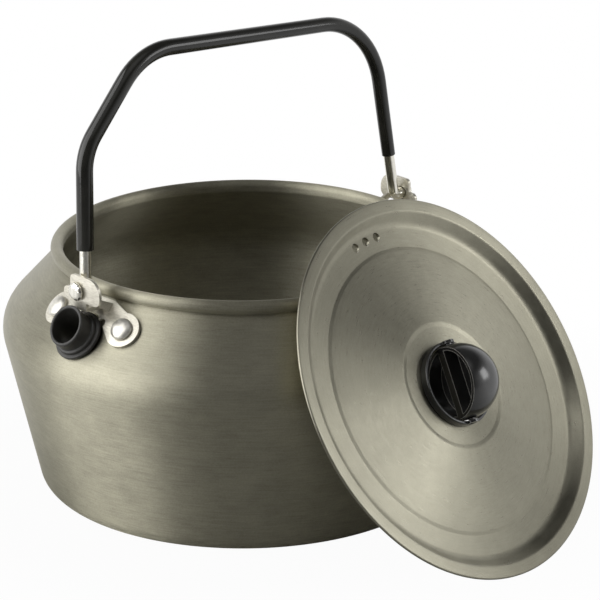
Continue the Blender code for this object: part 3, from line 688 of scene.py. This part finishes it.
def brushed_metal(name, dark, light, rough_low, rough_high, across, metallic=1.0):
    """Bright metal with rolling or drawing lines across one axis, and small dents."""
    look, tree, shader = principled(name)
    where = add(tree, "TexCoord").outputs["Object"]
    stretched = add(tree, "Mapping", {"Vector": where, "Scale": across}).outputs["Vector"]
    lines = add(tree, "TexNoise", {"Vector": stretched, "Scale": 1.0, "Detail": 4.0}).outputs["Fac"]
    dents = add(tree, "TexNoise", {"Vector": where, "Scale": 420.0, "Detail": 2.0}).outputs["Fac"]
    share = spread(tree, lines, 0.3, 0.7, 0.0, 1.0)
    tree.links.new(blended(tree, share, dark, light), shader.inputs["Base Color"])
    tree.links.new(spread(tree, lines, 0.3, 0.7, rough_low, rough_high), shader.inputs["Roughness"])
    shader.inputs["Metallic"].default_value = metallic
    height = maths(tree, "ADD", maths(tree, "MULTIPLY", lines, 0.15), dents)
    bumped(tree, shader, height, 0.3, 0.12)
    return look


PRESSED_STEEL = brushed_metal("pressed_steel", STEEL_DARK, STEEL_LIGHT, rough_low=0.3,
                              rough_high=0.42, across=(600.0, 2600.0, 2600.0), metallic=0.7)
for name, turn in (("front_bracket", FITTING_SKEW), ("rear_bracket", math.pi - FITTING_SKEW)):
    shown(bracket(name + "_plate", turn), PRESSED_STEEL, "kettle", "stainless_plate", name)

# Rivets. Four soft aluminium rivets, two to a bracket, set from outside: a low dome on the
# strap, and a flattened tail inside the kettle.
RIVET_HEAD_R = 3.7
RIVET_HEAD_T = 1.9
RIVET_TAIL_R = 3.0
RIVET_TAIL_T = 1.1
RIVET_DARK = (0.62, 0.60, 0.54)
RIVET_LIGHT = (0.82, 0.80, 0.73)


def rivet_profile():
    """The dome from its middle out, the shank, and the tail back to the axis."""
    tail_top = -(WALL + GAP)
    head_low = 2 * GAP + PLATE
    dome = []
    for i in range(13):
        angle = math.pi / 2 * (1 - i / 12)
        rise = RIVET_HEAD_T * (0.2 + 0.8 * math.sin(angle))
        dome.append((RIVET_HEAD_R * math.cos(angle), head_low + rise))
    tail = rounded([
        (RIVET_HEAD_R, head_low + 0.2 * RIVET_HEAD_T, 0.0),
        (RIVET_HEAD_R, head_low, 0.15),
        (RIVET_SHANK_R, head_low, 0.0),
        (RIVET_SHANK_R, tail_top, 0.0),
        (RIVET_TAIL_R, tail_top, 0.15),
        (RIVET_TAIL_R, tail_top - 0.6 * RIVET_TAIL_T, 0.3),
        (0.7 * RIVET_TAIL_R, tail_top - RIVET_TAIL_T, 0.4),
        (0.0, tail_top - RIVET_TAIL_T, 0.0),
    ], math.radians(20))
    return dome + tail[1:]


RIVET_METAL = brushed_metal("rivet_metal", RIVET_DARK, RIVET_LIGHT, rough_low=0.28, rough_high=0.4,
                            across=(700.0, 700.0, 700.0), metallic=0.75)
for name, place in rivet_places().items():
    rivet = placed(name + "_set", turned(rivet_profile(), 48), place)
    shown(rivet, RIVET_METAL, "kettle", "rivet_aluminium", name)

# Bail. One bright drawn steel wire bent to a trapezium, its two feet turned outwards
# through the bracket eyes and peened over. A glossy black tube is slipped over the grip.
BAIL_REST = math.radians(-4.5)
FRONT_KNEE = (3.7, 44.0, 18.0)
FRONT_CREST = (40.0, 71.4, 25.0)
REAR_CORNER = (6.8, 63.4, 27.0)
SLEEVE_FRONT_RISE = 12.5
SLEEVE_REAR_RISE = 14.5
SLEEVE_FRONT_R = 2.75
SLEEVE_REAR_R = 2.3
SLEEVE_FIT = 0.15
WIRE_HEAD_R = 3.0
WIRE_HEAD_T = 1.5
WIRE_IN_HEAD = 0.4
HEAD_SIDES = 72
HEAD_TEETH = 12
HEAD_CRIMP = 0.035
WIRE_DARK = (0.74, 0.72, 0.64)
WIRE_LIGHT = (0.92, 0.90, 0.82)
SLEEVE_EDGE = 0.35
SLEEVE_DARK = (0.012, 0.0118, 0.0098)
SLEEVE_LIGHT = (0.024, 0.0235, 0.0195)


def bail_place():
    """The bail's own frame: Y along its axis through both eyes, Z up the bail."""
    side = eye_plane() * math.sin(FITTING_SKEW)
    return Matrix.Translation((side, 0.0, pivot_z())) @ Matrix.Rotation(BAIL_REST, 4, "Y")


def bail_corners():
    """The wire's bends in the bail's own plane, each (out, up, radius)."""
    front = crease()[0] + FRONT_REACH
    rear = crease()[0] + REAR_REACH
    return [
        (-front, 0.0, FOOT_BEND),
        (FRONT_KNEE[0] - front, FRONT_KNEE[1], FRONT_KNEE[2]),
        (-FRONT_CREST[0], FRONT_CREST[1], FRONT_CREST[2]),
        (rear - REAR_CORNER[0], REAR_CORNER[1], REAR_CORNER[2]),
        (rear, 0.0, FOOT_BEND),
    ]


def on_leg(foot, knee, rise):
    """A point on the straight leg at a height above the foot."""
    share = rise / knee[1]
    return foot[0] + (knee[0] - foot[0]) * share, rise, 0.0


def tube(path, radii, sides=32, inner=None):
    """A round tube along points in the YZ plane, solid, or hollow with an inner radius."""
    shape = bmesh.new()
    rings = []
    bores = []
    for i, (y, z) in enumerate(path):
        before = Vector(path[max(i - 1, 0)])
        after = Vector(path[min(i + 1, len(path) - 1)])
        along = (after - before).normalized()
        across = Vector((0.0, -along.y, along.x))
        for radius, store in ((radii[i], rings), (inner, bores)):
            if radius is None:
                continue
            ring = []
            for k in range(sides):
                angle = 2 * math.pi * k / sides
                at = Vector((0.0, y, z)) + Vector((math.cos(angle), 0.0, 0.0)) * radius
                ring.append(shape.verts.new(at + across * (radius * math.sin(angle))))
            store.append(ring)
    for strip in (rings, bores):
        for a, b in zip(strip, strip[1:]):
            join_rings(shape, a, b)
    for end in (0, -1):
        if bores:
            join_rings(shape, rings[end], bores[end])
        else:
            shape.faces.new(rings[end])
    return shape


def wire_end():
    """How far out the peened heads start, just clear of the eye plates."""
    return eye_plane() + PLATE / 2 + GAP


def head_shape(sign):
    """A peened end: a low dome with a crimped edge, from rings of (radius, out)."""
    outline = [
        (WIRE_R, 0.0),
        (WIRE_HEAD_R - 0.2, 0.0),
        (WIRE_HEAD_R, 0.25),
        (WIRE_HEAD_R, 0.7),
        (0.86 * WIRE_HEAD_R, 1.2),
        (0.5 * WIRE_HEAD_R, WIRE_HEAD_T),
        (0.2 * WIRE_HEAD_R, WIRE_HEAD_T),
    ]
    shape = bmesh.new()
    rings = []
    for r, out in outline:
        y = sign * (wire_end() + out)
        ring = []
        for k in range(HEAD_SIDES):
            angle = 2 * math.pi * k / HEAD_SIDES
            crimp = HEAD_CRIMP * math.cos(HEAD_TEETH * angle) * (r / WIRE_HEAD_R) ** 2
            reach = r * (1.0 + crimp)
            ring.append(shape.verts.new((reach * math.cos(angle), y, reach * math.sin(angle))))
        rings.append(ring)
    for a, b in zip(rings, rings[1:]):
        join_rings(shape, a, b)
    shape.faces.new(rings[0])
    shape.faces.new(rings[-1])
    return shape


def sleeve_radii(path):
    """The sleeve's radius at each point: even to the crest, then thinner towards the rear."""
    lengths = [0.0]
    for a, b in zip(path, path[1:]):
        lengths.append(lengths[-1] + math.dist(a, b))
    thin_from = math.dist(path[0], (-FRONT_CREST[0], FRONT_CREST[1]))
    radii = []
    for length in lengths:
        share = max(0.0, (length - thin_from) / (lengths[-1] - thin_from))
        radii.append(SLEEVE_FRONT_R + (SLEEVE_REAR_R - SLEEVE_FRONT_R) * min(1.0, share))
    return radii


def sleeve_look():
    look, tree, shader = principled("sleeve_vinyl")
    where = add(tree, "TexCoord").outputs["Object"]
    skin = add(tree, "TexNoise", {"Vector": where, "Scale": 700.0, "Detail": 3.0}).outputs["Fac"]
    smear = add(tree, "TexNoise", {"Vector": where, "Scale": 90.0, "Detail": 4.0}).outputs["Fac"]
    share = spread(tree, smear, 0.35, 0.7, 0.0, 1.0)
    tree.links.new(blended(tree, share, SLEEVE_DARK, SLEEVE_LIGHT), shader.inputs["Base Color"])
    tree.links.new(spread(tree, smear, 0.3, 0.7, 0.08, 0.14), shader.inputs["Roughness"])
    shader.inputs["Specular IOR Level"].default_value = 0.5
    bumped(tree, shader, skin, 0.2, 0.06)
    return look


corners = bail_corners()
tip = wire_end() + WIRE_IN_HEAD
wire_path = paced(rounded([(-tip, 0.0, 0.0), *corners, (tip, 0.0, 0.0)], math.radians(5)), 4.0)
bail = placed("bail_rod", tube(wire_path, [WIRE_R] * len(wire_path)), bail_place())
heads = [placed("head", head_shape(sign), bail_place()) for sign in (-1, 1)]
trimmed(bail, heads, "UNION")
BRIGHT_WIRE = brushed_metal("bright_wire", WIRE_DARK, WIRE_LIGHT, rough_low=0.18, rough_high=0.28,
                            across=(2600.0, 2600.0, 220.0))
shown(bail, BRIGHT_WIRE, "bail", "steel_wire", "bail_wire", sharp=math.radians(50))

first = on_leg(corners[0], corners[1], SLEEVE_FRONT_RISE)
last = on_leg(corners[4], corners[3], SLEEVE_REAR_RISE)
grip_path = paced(rounded([first, *corners[1:4], last], math.radians(5)), 2.0)
grip = tube(grip_path, sleeve_radii(grip_path), sides=40, inner=WIRE_R + SLEEVE_FIT)
sleeve = placed("grip_sleeve", grip, bail_place())
softened(sleeve, SLEEVE_EDGE, math.radians(60))
shown(sleeve, sleeve_look(), "bail", "sleeve_plastic", "bail_sleeve", sharp=math.radians(50))

# Lid. A disc spun from the same anodised aluminium: a flat flange, a rounded step down, a
# band with three vent holes, and a shallow cone up to the seat of the knob. It leans on the
# kettle's side, so all its pieces are made in its own frame, Z out of its face.
LID_R = 63.6
LID_T = 1.0
LID_CENTRE = (BELLY_R + 7.66, 5.64, 54.4)
LID_AZIMUTH = math.radians(6.62)
LID_TILT = math.radians(32.9)
FLANGE_W = 3.7
WELL_DEPTH = 3.5
WELL_WALL_RUN = 3.9
VENT_BAND_W = 7.6
WELL_STEP = 0.4
CROWN_R = 20.7
CROWN_RISE = 1.2
CROWN_STEP = 0.3
VENT_R = 1.55
VENT_RADIUS = 53.1
VENT_FIRST = math.radians(-1.8)
VENT_PITCH = math.radians(6.0)
VENTS = 3
LID_DARK = (0.262, 0.250, 0.198)
LID_LIGHT = (0.360, 0.345, 0.272)
BALL_R = 12.4
BALL_RISE = 4.4
BALL_CLEAR = 0.3
SKIRT_WALL = 0.75


def lid_place():
    """The lid's own frame: X up its slope, Z out of its face."""
    out = Vector((
        math.cos(LID_TILT) * math.cos(LID_AZIMUTH),
        math.cos(LID_TILT) * math.sin(LID_AZIMUTH),
        math.sin(LID_TILT),
    ))
    up = (Vector((0.0, 0.0, 1.0)) - out * out.z).normalized()
    return facing(LID_CENTRE, up, out.cross(up))


def skirt_in():
    """The inner radius of the knob's skirt, just clear of the ball."""
    level = BALL_RISE - CROWN_RISE
    return math.sqrt(BALL_R**2 - level**2) + 2 * BALL_CLEAR


def lid_profile():
    """The face from the hole out to the edge, and the same line a sheet's thickness below."""
    hole = skirt_in() + SKIRT_WALL + GAP
    floor = CROWN_RISE - CROWN_STEP
    flange_in = LID_R - FLANGE_W
    well = flange_in - WELL_WALL_RUN
    band_in = well - VENT_BAND_W
    half = LID_T / 2
    middle = rounded([
        (hole, floor - half, 0.0),
        (CROWN_R - 0.9, floor - half, 1.3),
        (CROWN_R + 0.5, CROWN_RISE - half, 2.0),
        (band_in - 1.3, WELL_STEP - WELL_DEPTH - half, 2.0),
        (band_in - 0.1, -WELL_DEPTH - half, 1.6),
        (well + 0.2, -WELL_DEPTH - half, 4.0),
        (flange_in - 0.4, -half, 0.8),
        (LID_R - half, -half, 0.0),
    ], math.radians(6))
    middle = paced(middle, 2.0)
    top = []
    low = []
    for i, at in enumerate(middle):
        before = Vector(middle[max(i - 1, 0)])
        after = Vector(middle[min(i + 1, len(middle) - 1)])
        along = (after - before).normalized()
        square = Vector((-along.y, along.x)) * half
        top.append((at[0] + square.x, at[1] + square.y))
        low.append((at[0] - square.x, at[1] - square.y))
    edge = arc(middle[-1], half, math.pi / 2, -math.pi / 2, 10)
    return top[:-1] + edge + low[-2::-1]


lid = placed("lid_disc", turned(lid_profile(), 240, closed=True), lid_place())
vents = []
for i in range(VENTS):
    angle = VENT_FIRST + VENT_PITCH * i
    at = (VENT_RADIUS * math.cos(angle), VENT_RADIUS * math.sin(angle), -WELL_DEPTH)
    vents.append(drill(VENT_R, 6 * LID_T, lid_place() @ Matrix.Translation(at), 32))
trimmed(lid, vents)
ANODISED_LID = anodised("anodised_lid", LID_DARK, LID_LIGHT, rough=0.31, stretch=0.95,
                        axis_turn=lid_place().to_euler(), lines=2200.0)
shown(lid, ANODISED_LID, "lid", "anodised_aluminium", "lid_dish")

# Knob bezel and clamp ring. A black moulded ring stands on the lid's crown with its skirt
# through the hole, and a flat ring snapped on from below holds it. Two small lugs on its
# wall carry the ball's pins.
KNOB_AXIS = math.radians(-11.0)
PIN_R = 1.1
BEZEL_WALL = 1.2
BEZEL_TOP = 3.8
LUG_R = 2.0
CLAMP_W = 1.6
CLAMP_T = 1.2
LUG_DEPTH = 0.8 * BEZEL_WALL
SKIRT_STEP = 1.0
PLASTIC_DARK = (0.012, 0.012, 0.0115)
PLASTIC_LIGHT = (0.020, 0.020, 0.019)
# Colour of the painted highlight along the plastic's edges.
PLASTIC_GLINT = (0.60, 0.58, 0.53)
PLASTIC_EDGE = 0.5


def bezel_profile():
    """The ring's section, from its skirt up the bore, over the rim and back down."""
    floor = CROWN_RISE - CROWN_STEP
    low = floor - LID_T - GAP - CLAMP_T
    seat = floor + GAP
    bore = BALL_R + BALL_CLEAR
    outer = bore + BEZEL_WALL
    skirt_out = skirt_in() + SKIRT_WALL
    corners = [
        (skirt_in(), low, 0.0),
        (skirt_in(), seat, 0.2),
        (bore, seat + SKIRT_STEP, 0.4),
        (bore, BEZEL_TOP, 0.45),
        (outer, BEZEL_TOP, 0.45),
        (outer, seat, 0.15),
        (skirt_out, seat, 0.0),
        (skirt_out, low, 0.0),
    ]
    return rounded(corners, math.radians(15))


def knob_axis_place():
    """The ball's middle in the lid's frame, with X along its pins."""
    return Matrix.Translation((0.0, 0.0, BALL_RISE)) @ Matrix.Rotation(KNOB_AXIS, 4, "Z")


def gloss_plastic(name, glint_share):
    """Black moulded plastic whose edges are painted paler by the given share, a painted highlight
    along them.
    """
    look, tree, shader = principled(name)
    where = add(tree, "TexCoord").outputs["Object"]
    haze = add(tree, "TexNoise", {"Vector": where, "Scale": 160.0, "Detail": 4.0}).outputs["Fac"]
    skin = add(tree, "TexNoise", {"Vector": where, "Scale": 1300.0, "Detail": 2.0}).outputs["Fac"]
    share = spread(tree, haze, 0.35, 0.7, 0.0, 1.0)
    plain = blended(tree, share, PLASTIC_DARK, PLASTIC_LIGHT)
    # The paler colour on the rounded edges is painted highlight, standing in for the glints the
    # edges catch.
    eased = add(tree, "Bevel", {"Radius": PLASTIC_EDGE * MM}, samples=6).outputs["Normal"]
    true = add(tree, "NewGeometry").outputs["True Normal"]
    along = add(tree, "VectorMath", {0: eased, 1: true}, operation="DOT_PRODUCT").outputs["Value"]
    edge = spread(tree, along, 0.8, 0.97, glint_share, 0.0)
    tree.links.new(blended(tree, edge, plain, PLASTIC_GLINT), shader.inputs["Base Color"])
    tree.links.new(spread(tree, haze, 0.3, 0.7, 0.16, 0.24), shader.inputs["Roughness"])
    shader.inputs["IOR"].default_value = 1.7
    shader.inputs["Specular IOR Level"].default_value = 0.65
    bumped(tree, shader, skin, 0.12, 0.03)
    return look


# The ring's edges get a faint painted highlight, and the ball's a stronger one below.
GLOSS_PLASTIC = gloss_plastic("gloss_plastic", glint_share=0.25)
across = Matrix.Rotation(math.pi / 2, 4, "Y")
bezel = placed("knob_ring", turned(bezel_profile(), 120, closed=True), lid_place())
ring_mid = BALL_R + BALL_CLEAR + BEZEL_WALL / 2
knob_axis = lid_place() @ knob_axis_place()
lug_places = [knob_axis @ Matrix.Translation((sign * ring_mid, 0.0, 0.0)) @ across
              for sign in (-1, 1)]
trimmed(bezel, [drill(LUG_R, LUG_DEPTH, at, 48) for at in lug_places], "UNION")
trimmed(bezel, [drill(PIN_R + GAP, 4 * BEZEL_WALL, at, 32) for at in lug_places])
shown(bezel, GLOSS_PLASTIC, "lid", "knob_plastic", "knob_bezel")

clamp_top = CROWN_RISE - CROWN_STEP - LID_T - GAP
clamp_in = skirt_in() + SKIRT_WALL + GAP
# The section starts and ends part way down its inner wall.
clamp_section = rounded([
    (clamp_in, clamp_top - 0.5, 0.0),
    (clamp_in, clamp_top, 0.1),
    (clamp_in + CLAMP_W, clamp_top, 0.15),
    (clamp_in + CLAMP_W, clamp_top - CLAMP_T, 0.4),
    (clamp_in, clamp_top - CLAMP_T, 0.15),
    (clamp_in, clamp_top - 0.6, 0.0),
])
clamp = placed("clamp_ring", turned(clamp_section, 96, closed=True), lid_place())
shown(clamp, GLOSS_PLASTIC, "lid", "knob_plastic", "knob_clamp_ring")

# Knob ball. A gloss black moulding, a ball cut off flat, with two pockets that leave a rib
# to pinch, and a painted highlight along its edges. It turns on two stub pins, and here it lies on
# its side.
BALL_CUT = 4.0
RIB_W = 3.0
POCKET_DEPTH = 5.0
POCKET_RIM = 1.1
BALL_EDGE = 0.45
KNOB_TURN = math.radians(-99.5)


def pocket_outline(sign):
    """One pocket's half round beside the rib."""
    radius = math.sqrt(BALL_R**2 - BALL_CUT**2) - POCKET_RIM
    start = math.asin(RIB_W / 2 / radius)
    return [(x, sign * y) for x, y in arc((0.0, 0.0), radius, start, math.pi - start, 40)]


turn = knob_axis @ Matrix.Rotation(KNOB_TURN, 4, "X")
cut_angle = math.asin(BALL_CUT / BALL_R)
ball_profile = [(0.0, BALL_CUT)] + arc((0.0, 0.0), BALL_R, cut_angle, -math.pi / 2, 60)
ball = placed("knob_half_ball", turned(ball_profile, 128), turn)
flat_face = turn @ Matrix.Translation((0.0, 0.0, BALL_CUT))
pin_out = BALL_R + BALL_CLEAR + LUG_DEPTH
pin_in = 0.8 * BALL_R
pins = []
pockets = []
for sign in (-1, 1):
    at = turn @ Matrix.Translation((sign * (pin_out + pin_in) / 2, 0.0, 0.0)) @ across
    pins.append(drill(PIN_R, pin_out - pin_in, at, 32))
    pockets.append(plate(pocket_outline(sign), 2 * POCKET_DEPTH, flat_face))
trimmed(ball, pockets)
trimmed(ball, pins, "UNION")
softened(ball, BALL_EDGE, math.radians(40))
shown(ball, gloss_plastic("glint_edged_plastic", glint_share=0.8), "knob", "knob_plastic", "knob_ball")

# Studio. A pale floor and a white backdrop round the kettle that is dark on the camera's
# side, one large soft lamp to the left of the camera, a small one to its right, a soft glow
# overhead, and a camera at the photograph's place. Lamp angles are in degrees.
CAMERA_AT = (761.10, -702.07, 434.6)
CAMERA_RIGHT = Vector((0.69143, 0.72249, -0.002))
CAMERA_UP = Vector((-0.24355, 0.23574, 0.9408))
CAMERA_LENS = 197.4
CAMERA_AZIMUTH = 46.3
KEY_AZIMUTH = CAMERA_AZIMUTH - 71.0
SIDE_AZIMUTH = 128.0
LAMPS_AIM = Vector((0.01, 0.0, 0.06))
FLOOR_R = 4000.0
FLOOR_MIDDLE_R = 60.0
FLOOR_Z = -0.2
FLOOR_GREY = 0.42
FLOOR_NEAR_SHARE = 0.965
FLOOR_FADE = (0.09, 0.2)
FLOOR_MIRROR_FADE = (0.08, 0.2)
ROOM_LEVEL = 0.08
BACK = Vector((-0.723, 0.691, 0.0))
BACK_FADE = (-0.8, -0.3)
BACKDROP_TOP = (0.35, 0.75)
RIGHT = Vector((0.695, 0.719, 0.0))
RIGHT_FADE = (0.2, 0.9)
RIGHT_LEVEL = 0.8
OVERHEAD = Vector((0.324, -0.187, 0.927))
OVERHEAD_FADE = (0.86, 0.98)
OVERHEAD_LEVEL = 0.5
WHITE = (1.0, 1.0, 1.0, 1.0)


def in_metres(place):
    """The same placement with its distances in metres."""
    moved = place.copy()
    moved.translation = place.translation * MM
    return moved


def stage_camera():
    """The camera where the photograph was taken from, in metres."""
    lens = bpy.data.cameras.new("photo_camera")
    lens.lens = CAMERA_LENS
    lens.sensor_width = 36.0
    lens.clip_start = 0.05
    lens.clip_end = 30.0
    made = bpy.data.objects.new("photo_camera", lens)
    bpy.context.scene.collection.objects.link(made)
    made.matrix_world = in_metres(facing(CAMERA_AT, CAMERA_RIGHT, CAMERA_UP))
    bpy.context.scene.camera = made


def soft_lamp(name, azimuth, elevation, distance, size, power):
    """An oblong lamp that looks at the kettle's middle, in metres."""
    lamp = bpy.data.lights.new(name, "AREA")
    lamp.shape = "RECTANGLE"
    lamp.size = size[0]
    lamp.size_y = size[1]
    lamp.energy = power
    made = bpy.data.objects.new(name, lamp)
    bpy.context.scene.collection.objects.link(made)
    a = math.radians(azimuth)
    e = math.radians(elevation)
    back = Vector((math.sin(a) * math.cos(e), -math.cos(a) * math.cos(e), math.sin(e)))
    made.location = LAMPS_AIM + back * distance
    made.rotation_mode = "QUATERNION"
    made.rotation_quaternion = (-back).to_track_quat("-Z", "Y")


def backdrop_share(tree, direction):
    """1 where a direction looks at the white sweep, less to the right, 0 on the camera's side."""
    flat = add(tree, "VectorMath", {0: direction, 1: (1.0, 1.0, 0.0)}, operation="MULTIPLY")
    level = add(tree, "VectorMath", {0: flat.outputs[0]}, operation="NORMALIZE").outputs[0]
    toward = add(tree, "VectorMath", {0: level, 1: BACK}, operation="DOT_PRODUCT").outputs["Value"]
    aside = add(tree, "VectorMath", {0: level, 1: RIGHT}, operation="DOT_PRODUCT").outputs["Value"]
    share = spread(tree, toward, *BACK_FADE, 0.0, 1.0)
    return maths(tree, "MULTIPLY", share, spread(tree, aside, *RIGHT_FADE, 1.0, RIGHT_LEVEL))


def studio_world():
    """White to the camera; to everything else the backdrop, the overhead glow and a dim room."""
    world = bpy.data.worlds.new("studio")
    bpy.context.scene.world = world
    world.use_nodes = True
    tree = world.node_tree
    tree.nodes.clear()
    direction = add(tree, "TexCoord").outputs["Generated"]
    height = add(tree, "SeparateXYZ", {"Vector": direction}).outputs["Z"]
    low_part = spread(tree, height, *BACKDROP_TOP, 1.0, 0.0)
    sheet = maths(tree, "MULTIPLY", backdrop_share(tree, direction), low_part)
    above = add(tree, "VectorMath", {0: direction, 1: OVERHEAD}, operation="DOT_PRODUCT")
    room_level = spread(tree, above.outputs["Value"], *OVERHEAD_FADE, ROOM_LEVEL, OVERHEAD_LEVEL)
    level = maths(tree, "MAXIMUM", room_level, sheet)
    room = add(tree, "Background", {"Color": WHITE, "Strength": level})
    white = add(tree, "Background", {"Color": WHITE, "Strength": 1.0})
    seen = add(tree, "LightPath").outputs["Is Camera Ray"]
    mix = add(tree, "MixShader", {0: seen, 1: room.outputs[0], 2: white.outputs[0]})
    out = add(tree, "OutputWorld")
    tree.links.new(mix.outputs[0], out.inputs["Surface"])


def studio_floor():
    """White paper: nearly plain white to the camera, and a white sweep where it is mirrored."""
    rings = [(0.0, FLOOR_Z), (FLOOR_MIDDLE_R, FLOOR_Z), (FLOOR_R, FLOOR_Z)]
    made = placed("floor", turned(rings, 96))
    look, tree, shader = principled("floor_paper")
    shader.inputs["Base Color"].default_value = (FLOOR_GREY, FLOOR_GREY, FLOOR_GREY * 0.98, 1.0)
    shader.inputs["Roughness"].default_value = 0.7
    glow = add(tree, "Emission", {"Color": WHITE, "Strength": 1.0})
    where = add(tree, "NewGeometry").outputs["Position"]
    away = add(tree, "VectorMath", {0: where}, operation="LENGTH").outputs["Value"]
    share = spread(tree, away, *FLOOR_FADE, FLOOR_NEAR_SHARE, 1.0)
    rays = add(tree, "LightPath").outputs
    mirror_fade = spread(tree, away, *FLOOR_MIRROR_FADE, 0.0, 1.0)
    sweep = maths(tree, "MULTIPLY", backdrop_share(tree, where), mirror_fade)
    bounced = maths(tree, "MAXIMUM", rays["Is Glossy Ray"], rays["Is Transmission Ray"])
    mirrored = maths(tree, "MULTIPLY", bounced, sweep)
    factor = maths(tree, "MAXIMUM", maths(tree, "MULTIPLY", rays["Is Camera Ray"], share), mirrored)
    mix = add(tree, "MixShader", {0: factor, 1: shader.outputs[0], 2: glow.outputs[0]})
    tree.links.new(mix.outputs[0], tree.nodes["Material Output"].inputs["Surface"])
    made.data.materials.append(look)


stage_camera()
studio_world()
studio_floor()
soft_lamp("key_lamp", KEY_AZIMUTH, elevation=27.0, distance=0.85, size=(0.9, 1.2), power=7.8)
soft_lamp("side_lamp", SIDE_AZIMUTH, elevation=20.0, distance=0.9, size=(0.34, 0.34), power=1.0)
bpy.context.scene.view_settings.view_transform = "Standard"
